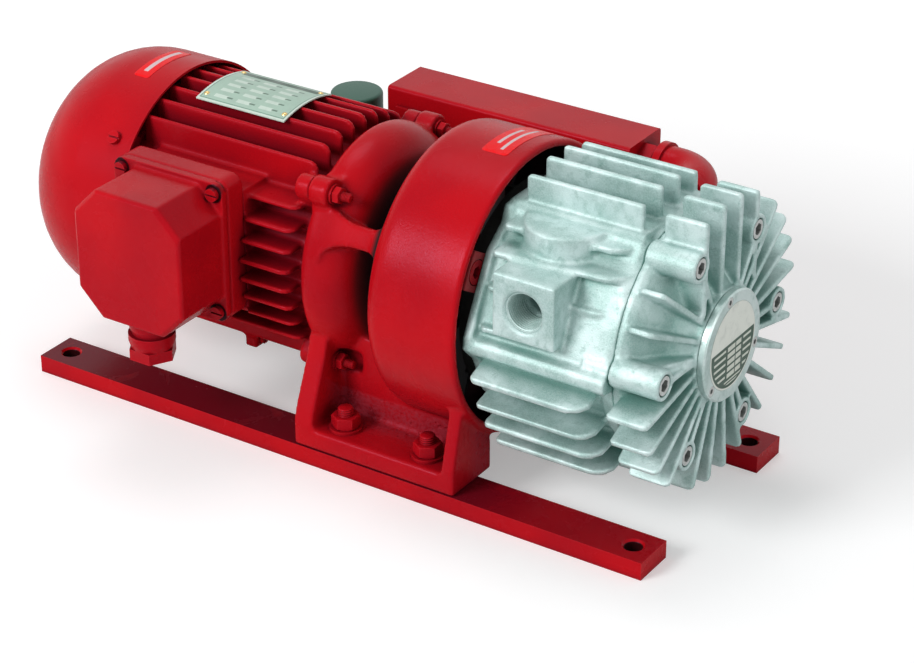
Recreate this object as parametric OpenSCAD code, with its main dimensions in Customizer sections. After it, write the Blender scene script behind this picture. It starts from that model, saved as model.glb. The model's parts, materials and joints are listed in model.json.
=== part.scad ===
// Dry rotary vane vacuum pump with its flanged electric motor, on two base rails.
// X runs along the shaft towards the pump end, Z is up, and the origin is the
// centre of the four base holes on the underside of the rails.

/* [Base rails] */
// Length of each rail
rail_l = 460; // [430:5:520]
// Width of each rail
rail_w = 30; // [28:1:36]
// Thickness of each rail
rail_t = 12; // [10:0.5:16]
// Distance between the centrelines of the two rails
rail_track = 145; // [143:1:150]
// Distance from a rail's end to the centre of its fixing hole
rail_hole_inset = 14; // [12:1:24]
// Diameter of the fixing holes
rail_hole_d = 11; // [9:0.5:13]
// Height of the shaft axis above the top of the rails
shaft_h = 107.5; // [105:0.5:115]

/* [Bell housing] */
// Where the motor flange starts along the shaft
bell_x = -21; // [-30:1:-15]
// Thickness of the motor flange
flange_t = 13; // [10:0.5:15]
// Radius of the motor flange
flange_r = 78; // [77:0.5:82]
// Distance from the motor flange to the closed end of the neck
neck_len = 22; // [20:1:28]
// Radius of the neck's closed end
neck_end_r = 46; // [42:1:52]
// Width of the air gap between the neck and the drum
intake_gap = 21; // [14:1:24]
// Length of the drum
drum_len = 67; // [62:1:75]
// Outer radius of the drum
drum_r = 93; // [91:0.5:96]
// Wall thickness of the drum
drum_wall = 5; // [4:0.5:7]
// Radius of the rounded shoulder at the back of the drum
drum_shoulder = 12; // [8:1:18]
// Radius of the air intake in the back of the drum
intake_r = 62; // [58:1:66]
// Angle of the ribs that carry the drum, above and below the horizontal
rib_angle = 30; // [26:1:34]
// Thickness of the foot plates
foot_t = 13.5; // [11:0.5:16]
// Diameter of the foot studs
foot_stud_d = 10; // [8:1:12]
// Distance from the motor flange to the first foot stud
foot_stud_inset = 29.5; // [26:0.5:32]
// Distance between the two studs of one foot
foot_stud_pitch = 61.5; // [56:0.5:64]
// Diameter of the motor flange studs
flange_stud_d = 6; // [5:1:8]
// Radius of the circle that the flange studs lie on
flange_stud_r = 81; // [80:0.5:83]

/* [Motor] */
// Length of the finned stator housing
stator_len = 147; // [135:1:155]
// Radius of the stator housing under its fins
stator_r = 66; // [64:0.5:68]
// Bore radius of the stator housing
stator_bore_r = 60; // [58:0.5:61]
// Radius that the fin tips reach
fin_tip_r = 81.5; // [78:0.5:82]
// Thickness of a cooling fin
fin_t = 3; // [2:0.2:4]
// Distance between neighbouring fins
fin_pitch = 12.8; // [11:0.2:13]
// Number of fins on each of the four sides
fin_count = 8; // [4:2:8]
// Outer radius of the fan cowl
cowl_r = 85; // [84:0.5:88]
// Length of the fan cowl
cowl_len = 97; // [90:1:110]
// Radius of the cowl's rounded shoulder
cowl_shoulder = 60; // [40:1:66]
// Sheet thickness of the cowl
cowl_wall = 1.6; // [1.2:0.1:2.5]
// How far the cowl reaches over the stator housing
cowl_lap = 9; // [4:0.5:14]
// Radius of the motor shaft in its bearings
motor_shaft_r = 10; // [9:0.5:11]
// Bore radius of the laminated core
core_bore_r = 36; // [35:0.5:38]
// Room for a winding head at each end of the core
head_room = 34; // [32:1:38]
// Distance from the motor flange to the far edge of the nameplate
plate_back = 116; // [110:1:118]
// Length of the nameplate along the shaft
plate_len = 69; // [60:1:71]
// Width of the nameplate
plate_w = 51; // [44:1:54]

/* [Terminal box] */
// Width of the terminal box along the shaft
tbox_w = 85; // [80:1:88]
// Height of the terminal box
tbox_h = 95; // [90:1:98]
// Distance from the motor flange to the middle of the terminal box
tbox_back = 87; // [84:1:92]
// Height of the middle of the terminal box above the shaft axis
tbox_up = 14; // [8:1:18]
// Distance from the shaft axis to the terminal box's seat on the motor
tbox_seat = 72; // [71:0.5:74]
// Depth of the terminal box frame
tbox_depth = 15; // [12:1:20]
// Depth of the octagonal hood of the cover
hood_depth = 42; // [30:1:46]
// Length of the chamfers at the hood's corners
hood_chamfer = 17; // [12:1:19]

/* [Pump] */
// Length of the pump cylinder
cyl_len = 96; // [90:1:104]
// Radius of the cylinder casting
cyl_r = 70; // [68:0.5:72]
// Radius of the bore that the vanes sweep
bore_r = 48; // [46:0.5:49]
// Radius of the slotted rotor
rotor_r = 43; // [40:0.5:43.5]
// Number of vanes
vane_count = 4; // [4:1:4]
// Thickness of a vane
vane_t = 4; // [3:0.5:5]
// Height of a vane across its slot
vane_h = 30; // [24:1:31]
// Offset of each slot from the rotor's centre
slot_offset = 14; // [10:1:16]
// Radius of the pump shaft in the rotor
pump_shaft_r = 12.5; // [11.5:0.5:12.5]
// Radius that the pump's fin tips reach
pump_fin_r = 94; // [90:0.5:96]
// Thickness of the pump's fins
pump_fin_t = 4; // [3:0.5:5]
// Distance between the upright plates on top of the pump
plate_pitch = 20.5; // [18:0.5:22]
// Radius of the upright valve boss behind a port
valve_boss_r = 27; // [25:0.5:28]
// Distance from the shaft axis to the front of the valve boss
valve_reach = 60; // [58:1:62]
// Length of the end cover's fins
cover_len = 34; // [30:1:40]
// Angle between neighbouring radial fins on the end cover
cover_fin_step = 12.9; // [11.5:0.1:13.5]
// Radius of the cap over the outer bearing
cap_r = 35; // [33:0.5:38]
// Width of the square port bosses
port_w = 40; // [36:1:44]
// Distance from the shaft axis to the face of a port
port_face = 84; // [82:0.5:88]
// Radius of the tapped bore of the open port
port_r = 12.25; // [9:0.25:13]
// Radius of the tapped bore of the far port and of the pipes to the silencer
outlet_r = 11.5; // [9:0.25:12]
// Depth of the thread in a port
port_depth = 22; // [18:1:24]
// Distance from the back of the cylinder to the middle of a port
port_back = 42; // [38:1:46]
// Height of the ports above the shaft axis
port_up = 31; // [29:0.5:33]

/* [Silencer] */
// Length of the silencer box
box_l = 186; // [170:1:195]
// Width of the silencer box
box_w = 41; // [38:1:46]
// Height of the silencer box
box_h = 78; // [70:1:90]
// Distance from the shaft axis to the near side of the silencer box
box_side = 115; // [112:1:120]
// Wall thickness of the silencer box
box_wall = 2.5; // [2:0.5:4]
// Diameter of the exhaust filter
filter_d = 36; // [34:1:44]
// Height of the exhaust filter
filter_h = 19; // [15:1:40]

/* [Hidden] */

red = [0.72, 0.07, 0.09];
dark_red = [0.42, 0.07, 0.1];
silver = [0.82, 0.87, 0.86];
steel = [0.6, 0.61, 0.63];
dark_steel = [0.32, 0.33, 0.35];

// Clearances: running in a bearing or slot, and loose between separate pieces
run = 0.05;
loose = 0.3;

// Stations along the shaft
axis_z = rail_t + shaft_h;
flange_x1 = bell_x + flange_t;
neck_x1 = flange_x1 + neck_len;
drum_x0 = neck_x1 + intake_gap;
drum_x1 = drum_x0 + drum_len;
cyl_x0 = drum_x1;
cyl_x1 = cyl_x0 + cyl_len;
cover_x1 = cyl_x1 + cover_len;
stator_x0 = bell_x - stator_len;
cowl_x1 = stator_x0 + cowl_lap;
cowl_x0 = cowl_x1 - cowl_len;

// Base
rail_y = rail_track / 2;
foot_y = rail_y + rail_w / 2;
foot_in_y = rail_y - rail_w / 2 - 5;
foot_z = -shaft_h;
foot_x1 = drum_x1 - 4;
foot_studs_x = [bell_x + foot_stud_inset, bell_x + foot_stud_inset + foot_stud_pitch];
flange_back = 0.6;
wall_t = flange_t + flange_back;
end_wall_t = 9;
web_t = 9;
neck_wall = 6;

// Bearings: bore radius, outer radius and width
motor_brg = [motor_shaft_r, 23.5, 14];
pump_brg = [10, 23.5, 14];
motor_brg_x = [stator_x0 - 8, neck_x1 - 16];
side_plate_t = 12;
side_x0 = drum_x1 - side_plate_t;
side_brg_x = side_x0 - 6;
outer_brg_x = cyl_x1 + 12;
seal_w = 7;

// Coupling and fan inside the drum
hub_r = 21;
motor_hub_x0 = neck_x1 + 6;
hub_len = 16;
spider_w = 8;
pump_hub_x0 = motor_hub_x0 + hub_len + spider_w;
fan_x0 = pump_hub_x0 + 4;
fan_w = 16;
fan_gap = 4;
cooling_fan_r = drum_r - drum_wall - fan_gap;
motor_shaft_x1 = motor_hub_x0 + hub_len - 1;
motor_fan_x0 = stator_x0 - 46;
motor_fan_w = 22;
motor_fan_r = cowl_r - 15;
shield_t = 9;
spot_r = 8.5;
spot_h = 16;
lug_l = 11;
lug_r = 8;
seat_w = 84;
earth_at = [bell_x - 60, -3 * fin_pitch, -72];

// Pump inside
ecc = bore_r - rotor_r - run;
slot_h = vane_h + 1;
slot_top = sqrt(rotor_r * rotor_r - slot_offset * slot_offset);
cap_t = 4.5;
cap_plate_r = 27.5;
plate_y = [for (i = [0:3]) -27 + plate_pitch * i];
cover_screw_d = 8;
cover_screw_r = 70;
cover_screw_angles = [for (i = [0:5]) 117 - 60 * i];
cover_fin_groups = [28, -32.5, -89.7, -150.7];
cover_rib_angles = [172, 155, 137];
port_x = cyl_x0 + port_back;

// Side fins as [height, reach in Y, end along the shaft], and the drooping fins under
// the ledge as [root Y, root Z, tip Y, tip Z]
side_fins = [[65, 53, cyl_x1 - 6], [53, 66, cyl_x1 - 2], [33, 72, cyl_x1 - 2],
    [9, 79, cyl_x1 - 5]];
low_fins = [[-60, -8, -92, -19], [-60, -34, -85, -40], [-50, -52, -76, -57],
    [-38, -70, -63, -75]];

// Silencer and its strap
strap_t = 3;
strap_w = 34;
strap_screw_d = 6;
box_x1 = drum_x1 - 3;
box_x0 = box_x1 - box_l;
strap_x = box_x0 + 8;
box_top = 48;
box_edge_r = 2.5;
box_mid_y = box_side + box_w / 2;
elbow_r = 17;
elbow_bend = 21;

// ---------- shared shapes ----------

// Points of an arc about (cx, cy)
function arc(cx, cy, r, a0, a1, n = 8) =
    [for (i = [0:n]) let (a = a0 + (a1 - a0) * i / n) [cx + r * cos(a), cy + r * sin(a)]];

// Points of a rectangle with rounded corners, centred on the origin
function round_rect(w, h, r) = concat(
    arc(w / 2 - r, h / 2 - r, r, 0, 90, 5), arc(r - w / 2, h / 2 - r, r, 90, 180, 5),
    arc(r - w / 2, r - h / 2, r, 180, 270, 5), arc(w / 2 - r, r - h / 2, r, 270, 360, 5));

// Points of an octagon of w by h with corners cut by c
function octagon(w, h, c) = [[w / 2, h / 2 - c], [w / 2 - c, h / 2], [c - w / 2, h / 2],
    [-w / 2, h / 2 - c], [-w / 2, c - h / 2], [c - w / 2, -h / 2],
    [w / 2 - c, -h / 2], [w / 2, c - h / 2]];

// Children move up to the shaft axis
module on_axis() {
    translate([0, 0, axis_z]) children();
}

// A body of revolution about the shaft; points are [radius, x]
module lathe(points, fn = 96) {
    rotate([0, 90, 0]) rotate_extrude($fn = fn) polygon(points);
}

// A cylinder along the shaft
module rod(x0, len, r, fn = 64) {
    translate([x0, 0, 0]) rotate([0, 90, 0]) cylinder(h = len, r = r, $fn = fn);
}

// A ring along the shaft
module ring(x0, len, ro, ri, fn = 96) {
    difference() {
        rod(x0, len, ro, fn);
        rod(x0 - 1, len + 2, ri, fn);
    }
}

// A flat outline in (Y, Z), made t thick from x0
module slab_x(x0, t) {
    translate([x0, 0, 0]) rotate([90, 0, 90]) linear_extrude(t) children();
}

// A flat outline in (X, Z), made t thick from y0 towards +Y
module slab_y(y0, t) {
    translate([0, y0 + t, 0]) rotate([90, 0, 0]) linear_extrude(t) children();
}

// Both sides of the machine
module both_sides() {
    children();
    mirror([0, 1, 0]) children();
}

// A hexagon nut or head along Z with a bore
module hex_nut(across, h, bore_d) {
    difference() {
        intersection() {
            cylinder(h = h, d = across / cos(30), $fn = 6);
            cylinder(h = h, d1 = across * 1.3, d2 = across * 1.02, $fn = 48);
        }
        translate([0, 0, -1]) cylinder(h = h + 2, d = bore_d, $fn = 32);
    }
}

// A washer along Z
module washer(d, h, bore_d) {
    difference() {
        cylinder(h = h, d = d, $fn = 48);
        translate([0, 0, -1]) cylinder(h = h + 2, d = bore_d, $fn = 32);
    }
}

// A socket head screw: head above Z = 0, shank below
module socket_screw(d, shank) {
    difference() {
        union() {
            cylinder(h = d, d = 1.5 * d, $fn = 40);
            translate([0, 0, -shank]) cylinder(h = shank + 1, d = d, $fn = 32);
        }
        translate([0, 0, d * 0.45]) cylinder(h = d, d = 0.86 * d / cos(30), $fn = 6);
    }
}

// A slotted cheese head screw: head above Z = 0, shank below
module slotted_screw(d, shank) {
    difference() {
        union() {
            cylinder(h = 0.6 * d, d = 1.7 * d, $fn = 40);
            translate([0, 0, -shank]) cylinder(h = shank + 1, d = d, $fn = 32);
        }
        translate([-d, -0.12 * d, 0.32 * d]) cube([2 * d, 0.24 * d, d]);
    }
}

// ---------- base rails ----------

// One rail, with fixing holes at its ends and tapped holes for the foot studs
module rail(y) {
    hole_x = rail_l / 2 - rail_hole_inset;
    translate([0, y, 0]) difference() {
        translate([-rail_l / 2, -rail_w / 2, 0]) cube([rail_l, rail_w, rail_t]);
        for (x = [-hole_x, hole_x]) {
            translate([x, 0, -1]) cylinder(h = rail_t + 2, d = rail_hole_d, $fn = 48);
            translate([x, 0, rail_t - 1.6])
                cylinder(h = 1.7, d1 = rail_hole_d, d2 = rail_hole_d + 3.4, $fn = 48);
        }
        for (x = foot_studs_x)
            translate([x, 0, -1]) cylinder(h = rail_t + 2, d = foot_stud_d + 2 * run, $fn = 40);
    }
}

module front_rail() {
    color(red) rail(-rail_y);
}

module rear_rail() {
    color(red) difference() {
        rail(rail_y);
        at_strap_rail(-1) cylinder(h = rail_t + 2, d = strap_screw_d + 2 * run, $fn = 32);
    }
}

// Puts children on top of every foot stud place
module at_foot_studs(z) {
    for (x = foot_studs_x)
        for (s = [-1, 1])
            translate([x, s * rail_y, z]) children();
}

module foot_studs() {
    foot_top = rail_t + foot_t;
    color(red) at_foot_studs(1) union() {
        cylinder(h = foot_top + 14, d = foot_stud_d, $fn = 40);
        translate([0, 0, foot_top + 14])
            cylinder(h = 1.2, d1 = foot_stud_d, d2 = foot_stud_d - 2.4, $fn = 40);
    }
}

module foot_washers() {
    color(red) at_foot_studs(rail_t + foot_t)
        washer(2.1 * foot_stud_d, 2, foot_stud_d + 2 * run);
}

module foot_nuts() {
    color(red) at_foot_studs(rail_t + foot_t + 2)
        hex_nut(1.7 * foot_stud_d, 0.8 * foot_stud_d, foot_stud_d + 2 * run);
}

// ---------- bell housing ----------

// An ear at each upper stud of the motor flange
module flange_ears() {
    ear = 9.5;
    root = flange_r - 10;
    for (a = [45, 135])
        rotate(a) {
            translate([flange_stud_r, 0]) circle(r = ear, $fn = 40);
            polygon([[root, -24], [flange_stud_r - 2, -ear], [flange_stud_r, ear],
                [flange_stud_r - 2, ear], [root, 24]]);
        }
}

// Outline of the foot wall under the motor flange, on the -Y side
module foot_wall_outline(top_y, top_z) {
    polygon([[-flange_r * 0.45, top_z], [top_y, top_z], [top_y - 3, top_z - 12],
        [-foot_y + 2, foot_z + foot_t + 11], [-foot_y, foot_z + foot_t + 2],
        [-foot_y, foot_z], [-foot_in_y, foot_z], [-foot_in_y + 4, foot_z + foot_t + 10]]);
}

// One foot on the -Y side: two walls, a plate and the web behind the studs
module foot() {
    slab_x(bell_x, wall_t) foot_wall_outline(-flange_r * 0.88, -flange_r * 0.48);
    slab_x(foot_x1 - end_wall_t, end_wall_t)
        foot_wall_outline(-drum_r * 0.82, -drum_r * 0.5);
    translate([bell_x, -foot_y, foot_z])
        cube([foot_x1 - bell_x, foot_y - foot_in_y, foot_t]);
    translate([bell_x, -foot_in_y - 1, foot_z])
        cube([foot_x1 - bell_x, web_t, shaft_h - flange_r * 0.5]);
}

// Half height of a drum rib at a place: it flares to the flange and to the drum
function rib_half(x) =
    let (waist = 7, u = max(0, 1 - (x - flange_x1) / 26), v = max(0, 1 - (drum_x0 + 6 - x) / 14))
    waist + 15 * (1 - sqrt(1 - u * u)) + 12 * (1 - sqrt(1 - v * v));

// A rib from the flange to the drum, at an angle above the horizontal
module drum_rib(angle) {
    steps = 24;
    x0 = flange_x1;
    x1 = drum_x0 + 6;
    places = [for (i = [0:steps]) x0 + (x1 - x0) * i / steps];
    outline = concat([[bell_x + 3, -rib_half(x0)]], [for (x = places) [x, -rib_half(x)]],
        [for (i = [0:steps]) [places[steps - i], rib_half(places[steps - i])]],
        [[bell_x + 3, rib_half(x0)]]);
    intersection() {
        rotate([angle - 90, 0, 0]) translate([0, 0, neck_end_r - 4])
            linear_extrude(drum_r) polygon(outline);
        lathe([[neck_end_r - 6, bell_x + 3], [flange_r - 0.5, bell_x + 3],
            [flange_r + 2, flange_x1 + 8], [flange_r + 5, drum_x0 - 6], [drum_r - 4, drum_x0 + 4],
            [drum_r - 2, drum_x0 + 7], [intake_r, drum_x0 + 7], [intake_r, neck_x1 - 6],
            [neck_end_r - 6, neck_x1 - 6]], 120);
    }
}

// Outer profile of the neck: a quarter ellipse from the flange's rim to the closed end
function neck_profile(grow) = [for (i = [0:14]) let (a = 90 * i / 14)
    [neck_end_r + grow + (flange_r - neck_end_r) * cos(a),
     bell_x + 5 + (neck_x1 - bell_x - 5 + grow) * sin(a)]];

module neck() {
    lathe(concat([[0, bell_x], [flange_r - 2, bell_x], [flange_r, bell_x + 3]],
        neck_profile(0), [[0, neck_x1]]), 120);
}

// Room for the winding heads inside the flange and the neck
module neck_cavity() {
    mouth_r = stator_bore_r + 2;
    lathe(concat([[0, bell_x - 1], [mouth_r, bell_x - 1]],
        [for (q = neck_profile(-neck_wall)) if (q[0] < mouth_r) q],
        [[0, neck_x1 - neck_wall]]));
}

module drum() {
    inner = drum_r - drum_wall;
    shoulder_in = drum_shoulder - drum_wall;
    lathe(concat([[intake_r, drum_x0]],
        arc(drum_r - drum_shoulder, drum_x0 + drum_shoulder, drum_shoulder, 270, 360, 8),
        [[drum_r, drum_x1 - 1.5], [drum_r - 1.5, drum_x1], [inner, drum_x1]],
        arc(inner - shoulder_in, drum_x0 + drum_wall + shoulder_in, shoulder_in, 0, -90, 6),
        [[intake_r, drum_x0 + drum_wall]]), 120);
}

// Bosses inside the drum that the pump's ears are screwed to
module ear_bosses() {
    inner = drum_r - drum_wall;
    x0 = fan_x0 + fan_w + fan_gap;
    for (a = ear_angles())
        rotate([a, 0, 0]) difference() {
            intersection() {
                translate([x0, ear_screw_r() - 10, -11]) cube([side_x0 - x0, 30, 22]);
                rod(drum_x0, drum_len, inner + 1, 120);
            }
            translate([side_x0 - 18, ear_screw_r(), 0]) rotate([0, 90, 0])
                cylinder(h = 19, d = 8 + 2 * run, $fn = 32);
        }
}

// Angles of the pump's ears about the shaft, from +Y towards +Z
function ear_angles() = [rib_angle, 180 - rib_angle, 270];

// Radius of the circle of the ear screws
function ear_screw_r() = drum_r - drum_wall - 10;

module bell_housing() {
    stud = flange_stud_d + 1;
    seat = motor_brg[1];
    color(red) on_axis() difference() {
        union() {
            difference() {
                union() {
                    slab_x(bell_x, wall_t) flange_ears();
                    neck();
                    for (a = [rib_angle, 180 - rib_angle]) drum_rib(a);
                    both_sides() foot();
                }
                neck_cavity();
                rod(neck_x1, intake_gap, intake_r, 96);
                rod(drum_x0 - 1, drum_len + 10, drum_r - drum_wall - 0.5, 120);
            }
            drum();
            ear_bosses();
            rod(neck_x1 - 24, 27, seat + 7);
        }
        rod(neck_x1 - 25, 40, motor_shaft_r + 2);
        rod(motor_brg_x[1] - 20, 20 + motor_brg[2], seat, 72);
        for (a = [45:90:315])
            rotate([a, 0, 0]) translate([bell_x - 1, flange_stud_r, 0]) rotate([0, 90, 0]) {
                cylinder(h = flange_t + 2, d = stud, $fn = 40);
                translate([0, 0, flange_t + 1]) cylinder(h = spot_h, r = spot_r, $fn = 48);
            }
        for (x = foot_studs_x)
            for (s = [-1, 1])
                translate([x, s * rail_y, foot_z - 1])
                    cylinder(h = foot_t + 2, d = foot_stud_d + 1, $fn = 40);
    }
}

// Puts children at the flange studs, with their Z along the shaft
module at_flange_studs(x) {
    on_axis() for (a = [45:90:315])
        rotate([a, 0, 0]) translate([x, flange_stud_r, 0]) rotate([0, 90, 0]) children();
}

module flange_studs() {
    depth = lug_l - 2;
    color(red) at_flange_studs(bell_x - depth)
        cylinder(h = depth + flange_t + 2 + flange_stud_d + 5, d = flange_stud_d, $fn = 40);
}

module flange_washers() {
    color(red) at_flange_studs(flange_x1)
        washer(2.1 * flange_stud_d, 1.6, flange_stud_d + 2 * run);
}

module flange_nuts() {
    color(red) at_flange_studs(flange_x1 + 1.6)
        hex_nut(1.62 * flange_stud_d, 0.8 * flange_stud_d, flange_stud_d + 2 * run);
}

// ---------- motor ----------

// Height of the fin tip envelope at a distance from the middle plane
function tip_at(d) = sqrt(fin_tip_r * fin_tip_r - d * d);

// Distances of the fins from the middle plane
function fin_places() = [for (i = [0:fin_count - 1]) (i - (fin_count - 1) / 2) * fin_pitch];

// One fin that stands on the housing, at a distance from the middle plane
module stator_fin(d) {
    tip = tip_at(d);
    root = stator_bore_r * cos(asin(min(0.95, abs(d) / stator_bore_r))) + 2;
    x0 = stator_x0 + 4;
    x1 = bell_x - 7;
    r = min(6, (tip - root) / 2);
    translate([0, fin_t / 2 + d, 0]) rotate([90, 0, 0]) linear_extrude(fin_t)
        polygon(concat([[x0, root], [x1, root]], arc(x1 - r, tip - r, r, 0, 90, 4),
            [[x0, tip]]));
}

// Lugs along the housing that take the flange studs
module stud_lugs() {
    foot = [stator_bore_r + 2, lug_r + 3];
    slab_x(bell_x - lug_l, lug_l - 0.2) for (a = [45:90:315])
        rotate(a) polygon(concat([[foot[0], -foot[1]]],
            arc(flange_stud_r, 0, lug_r, -80, 80, 10), [foot]));
}

module stator_housing() {
    seat = tbox_seat;
    mid = bell_x - tbox_back;
    color(red) on_axis() difference() {
        union() {
            rod(stator_x0, stator_len, stator_r, 120);
            for (a = [0:90:270])
                rotate([a, 0, 0]) for (d = fin_places()) stator_fin(d);
            stud_lugs();
            translate([mid - seat_w / 2, -seat, tbox_up - seat_w / 2 - 6])
                cube([seat_w, seat - stator_bore_r + 12, seat_w]);
            translate([earth_at[0] - 9, earth_at[1] - 7, earth_at[2] - 5]) cube([9, 14, 24]);
        }
        rod(stator_x0 - 1, stator_len + 2, stator_bore_r, 120);
        translate([mid - tbox_w / 2 - 1, -fin_tip_r - 4, tbox_up - tbox_h / 2 - 1])
            cube([tbox_w + 2, fin_tip_r + 4 - seat, tbox_h + 2]);
        translate([mid, -seat + 30, tbox_up]) rotate([90, 0, 0])
            cylinder(h = 40, r = 12, $fn = 48);
        for (a = [45:90:315])
            rotate([a, 0, 0]) translate([bell_x - lug_l + 1, flange_stud_r, 0])
                rotate([0, 90, 0])
                    cylinder(h = lug_l, d = flange_stud_d + 2 * run, $fn = 40);
        translate(earth_at - [10, 0, 0]) rotate([0, 90, 0])
            cylinder(h = 12, d = 4 + 2 * run, $fn = 32);
    }
}

module earth_screw() {
    color(steel) on_axis() translate(earth_at) rotate([0, 90, 0]) slotted_screw(4, 8);
}

module stator_core() {
    color(dark_steel) on_axis()
        ring(stator_x0 + head_room, stator_len - 2 * head_room, stator_bore_r - run, core_bore_r,
            96);
}

// The winding heads at both ends of the core
module stator_windings() {
    color([0.66, 0.36, 0.16]) on_axis()
        for (x = [stator_x0 + 12, bell_x - 34])
            ring(x, 22, stator_bore_r - 6, 40, 72);
}

module motor_end_shield() {
    seat = motor_brg[1];
    color(red) on_axis() difference() {
        union() {
            rod(stator_x0 - shield_t, shield_t, stator_r + 2, 96);
            rod(stator_x0 - shield_t, shield_t + 5, stator_bore_r - run, 96);
            rod(stator_x0 - 14, 26, seat + 7);
            for (a = cowl_screw_angles())
                rotate([a, 0, 0]) translate([cowl_screw_x() - 5, stator_r - 4, -8])
                    cube([10, sqrt(pow(cowl_r - cowl_wall - run, 2) - 64) - stator_r + 4, 16]);
        }
        ring(stator_x0 - 1, 20, stator_bore_r - 5, seat + 7, 96);
        for (a = cowl_screw_angles())
            rotate([a, 0, 0]) translate([cowl_screw_x(), cowl_r - 12, 0])
                rotate([-90, 0, 0]) cylinder(h = 14, d = 5 + 2 * run, $fn = 32);
        rod(motor_brg_x[0], 40, seat, 72);
        rod(stator_x0 - 40, 60, motor_shaft_r + 2);
    }
}

// Outer profile of the cowl from its rim to the flat end, grown by g
function cowl_profile(g) = concat([[cowl_r + g, cowl_x1]],
    arc(cowl_r - cowl_shoulder, cowl_x0 + cowl_shoulder, cowl_shoulder + g, 0, -90, 14));

module fan_cowl() {
    grille_r = cowl_r - cowl_shoulder + 6;
    color(red) on_axis() difference() {
        lathe(concat(cowl_profile(0), [[0, cowl_x0], [0, cowl_x0 + cowl_wall]],
            [for (i = [len(cowl_profile(0)) - 1:-1:0]) cowl_profile(-cowl_wall)[i]]), 120);
        for (k = [0:3]) {
            r0 = 9 + 9 * k;
            for (a = [0:60:300])
                rotate([a + 30 * k, 0, 0]) intersection() {
                    ring(cowl_x0 - 5, 30, r0 + 5, r0);
                    slab_x(cowl_x0 - 5, 30) polygon([[0, 0], [60, -24], [60, 24]]);
                }
        }
        for (a = cowl_screw_angles())
            rotate([a, 0, 0]) translate([cowl_screw_x(), cowl_r - 8, 0]) rotate([-90, 0, 0])
                cylinder(h = 12, d = 5 + 2 * run, $fn = 32);
    }
}

// Angles of the screws that hold the cowl, from +Y towards +Z
function cowl_screw_angles() = [41, 139, 221, 319];

// Place of the cowl screws along the shaft
function cowl_screw_x() = cowl_x1 - 14;

// Screws through the cowl into the lugs of the end shield
module cowl_screws() {
    color(red) on_axis() for (a = cowl_screw_angles())
        rotate([a, 0, 0]) translate([cowl_screw_x(), cowl_r, 0]) rotate([-90, 0, 0])
            slotted_screw(5, 9);
}

// ---------- terminal box ----------

tbox_x = bell_x - tbox_back;
frame_y = -tbox_seat - tbox_depth;
gasket_t = 1;
lid_t = 5;
lid_y = frame_y - gasket_t - lid_t;
tbox_wall = 3.5;
gland_x = tbox_x - 5;
gland_y = lid_y - 17;
hood_w = tbox_w - 3;
hood_h = tbox_h - 7;

// Puts children at the middle of the terminal box, seen from the front
module at_tbox(y) {
    on_axis() translate([tbox_x, y, tbox_up]) rotate([90, 0, 0]) children();
}

// Places of the four corner screws
module at_tbox_corners() {
    for (sx = [-1, 1])
        for (sz = [-1, 1])
            translate([sx * (tbox_w / 2 - 7), sz * (tbox_h / 2 - 7), 0]) children();
}

module terminal_box() {
    color(red) at_tbox(-tbox_seat) difference() {
        linear_extrude(tbox_depth) polygon(round_rect(tbox_w, tbox_h, 8));
        difference() {
            translate([0, 0, 3])
                linear_extrude(tbox_depth)
                    polygon(round_rect(tbox_w - 2 * tbox_wall, tbox_h - 2 * tbox_wall, 5));
            at_tbox_corners() cylinder(h = tbox_depth, r = 6.5, $fn = 32);
        }
        at_tbox_corners() translate([0, 0, tbox_depth - 11])
            cylinder(h = 12, d = 5 + 2 * run, $fn = 32);
        translate([0, 0, -1]) cylinder(h = 6, r = 12, $fn = 48);
    }
}

module terminal_gasket() {
    color([0.12, 0.12, 0.12]) at_tbox(frame_y) difference() {
        linear_extrude(gasket_t) polygon(round_rect(tbox_w - 1, tbox_h - 1, 7.5));
        translate([0, 0, -1]) linear_extrude(gasket_t + 2)
            polygon(octagon(hood_w - 2 * tbox_wall, hood_h - 2 * tbox_wall, hood_chamfer));
        at_tbox_corners() translate([0, 0, -1]) cylinder(h = 4, d = 5.4, $fn = 32);
    }
}

module terminal_cover() {
    inner_w = hood_w - 2 * tbox_wall;
    inner_h = hood_h - 2 * tbox_wall;
    color(red) difference() {
        at_tbox(frame_y - gasket_t) difference() {
            union() {
                linear_extrude(lid_t) polygon(round_rect(tbox_w, tbox_h, 8));
                linear_extrude(lid_t + hood_depth - 1.5)
                    polygon(octagon(hood_w, hood_h, hood_chamfer));
                linear_extrude(lid_t + hood_depth)
                    polygon(octagon(hood_w - 3, hood_h - 3, hood_chamfer));
            }
            translate([0, 0, -1]) linear_extrude(lid_t + hood_depth - 2)
                polygon(octagon(inner_w, inner_h, hood_chamfer));
            at_tbox_corners() translate([0, 0, -1]) cylinder(h = lid_t + 2, d = 5.6, $fn = 32);
        }
        on_axis() translate([gland_x, gland_y, tbox_up - hood_h / 2 - 1])
            cylinder(h = 12, r = 9 + run, $fn = 48);
    }
}

module terminal_cover_screws() {
    color(red) at_tbox(lid_y) at_tbox_corners() slotted_screw(5, lid_t + gasket_t + 9);
}

// The insulating block inside the box
module terminal_block() {
    color([0.15, 0.12, 0.1]) at_tbox(-tbox_seat - 3) difference() {
        union() {
            translate([-32, -16, 0]) cube([64, 32, 8]);
            for (x = [-12, 12])
                translate([x - 1.5, -16, 7]) cube([3, 32, 7]);
        }
        for (x = [-22, 0, 22])
            for (z = [-9, 9])
                translate([x, z, 2]) cylinder(h = 8, d = 4 + 2 * run, $fn = 32);
    }
}

module terminal_studs() {
    color([0.8, 0.62, 0.25]) at_tbox(-tbox_seat - 3 - 2)
        for (x = [-22, 0, 22])
            for (z = [-9, 9])
                translate([x, z, 0]) {
                    cylinder(h = 18, d = 4, $fn = 32);
                    translate([0, 0, 6.2]) hex_nut(7, 3.2, 3.9);
                }
}

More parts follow.
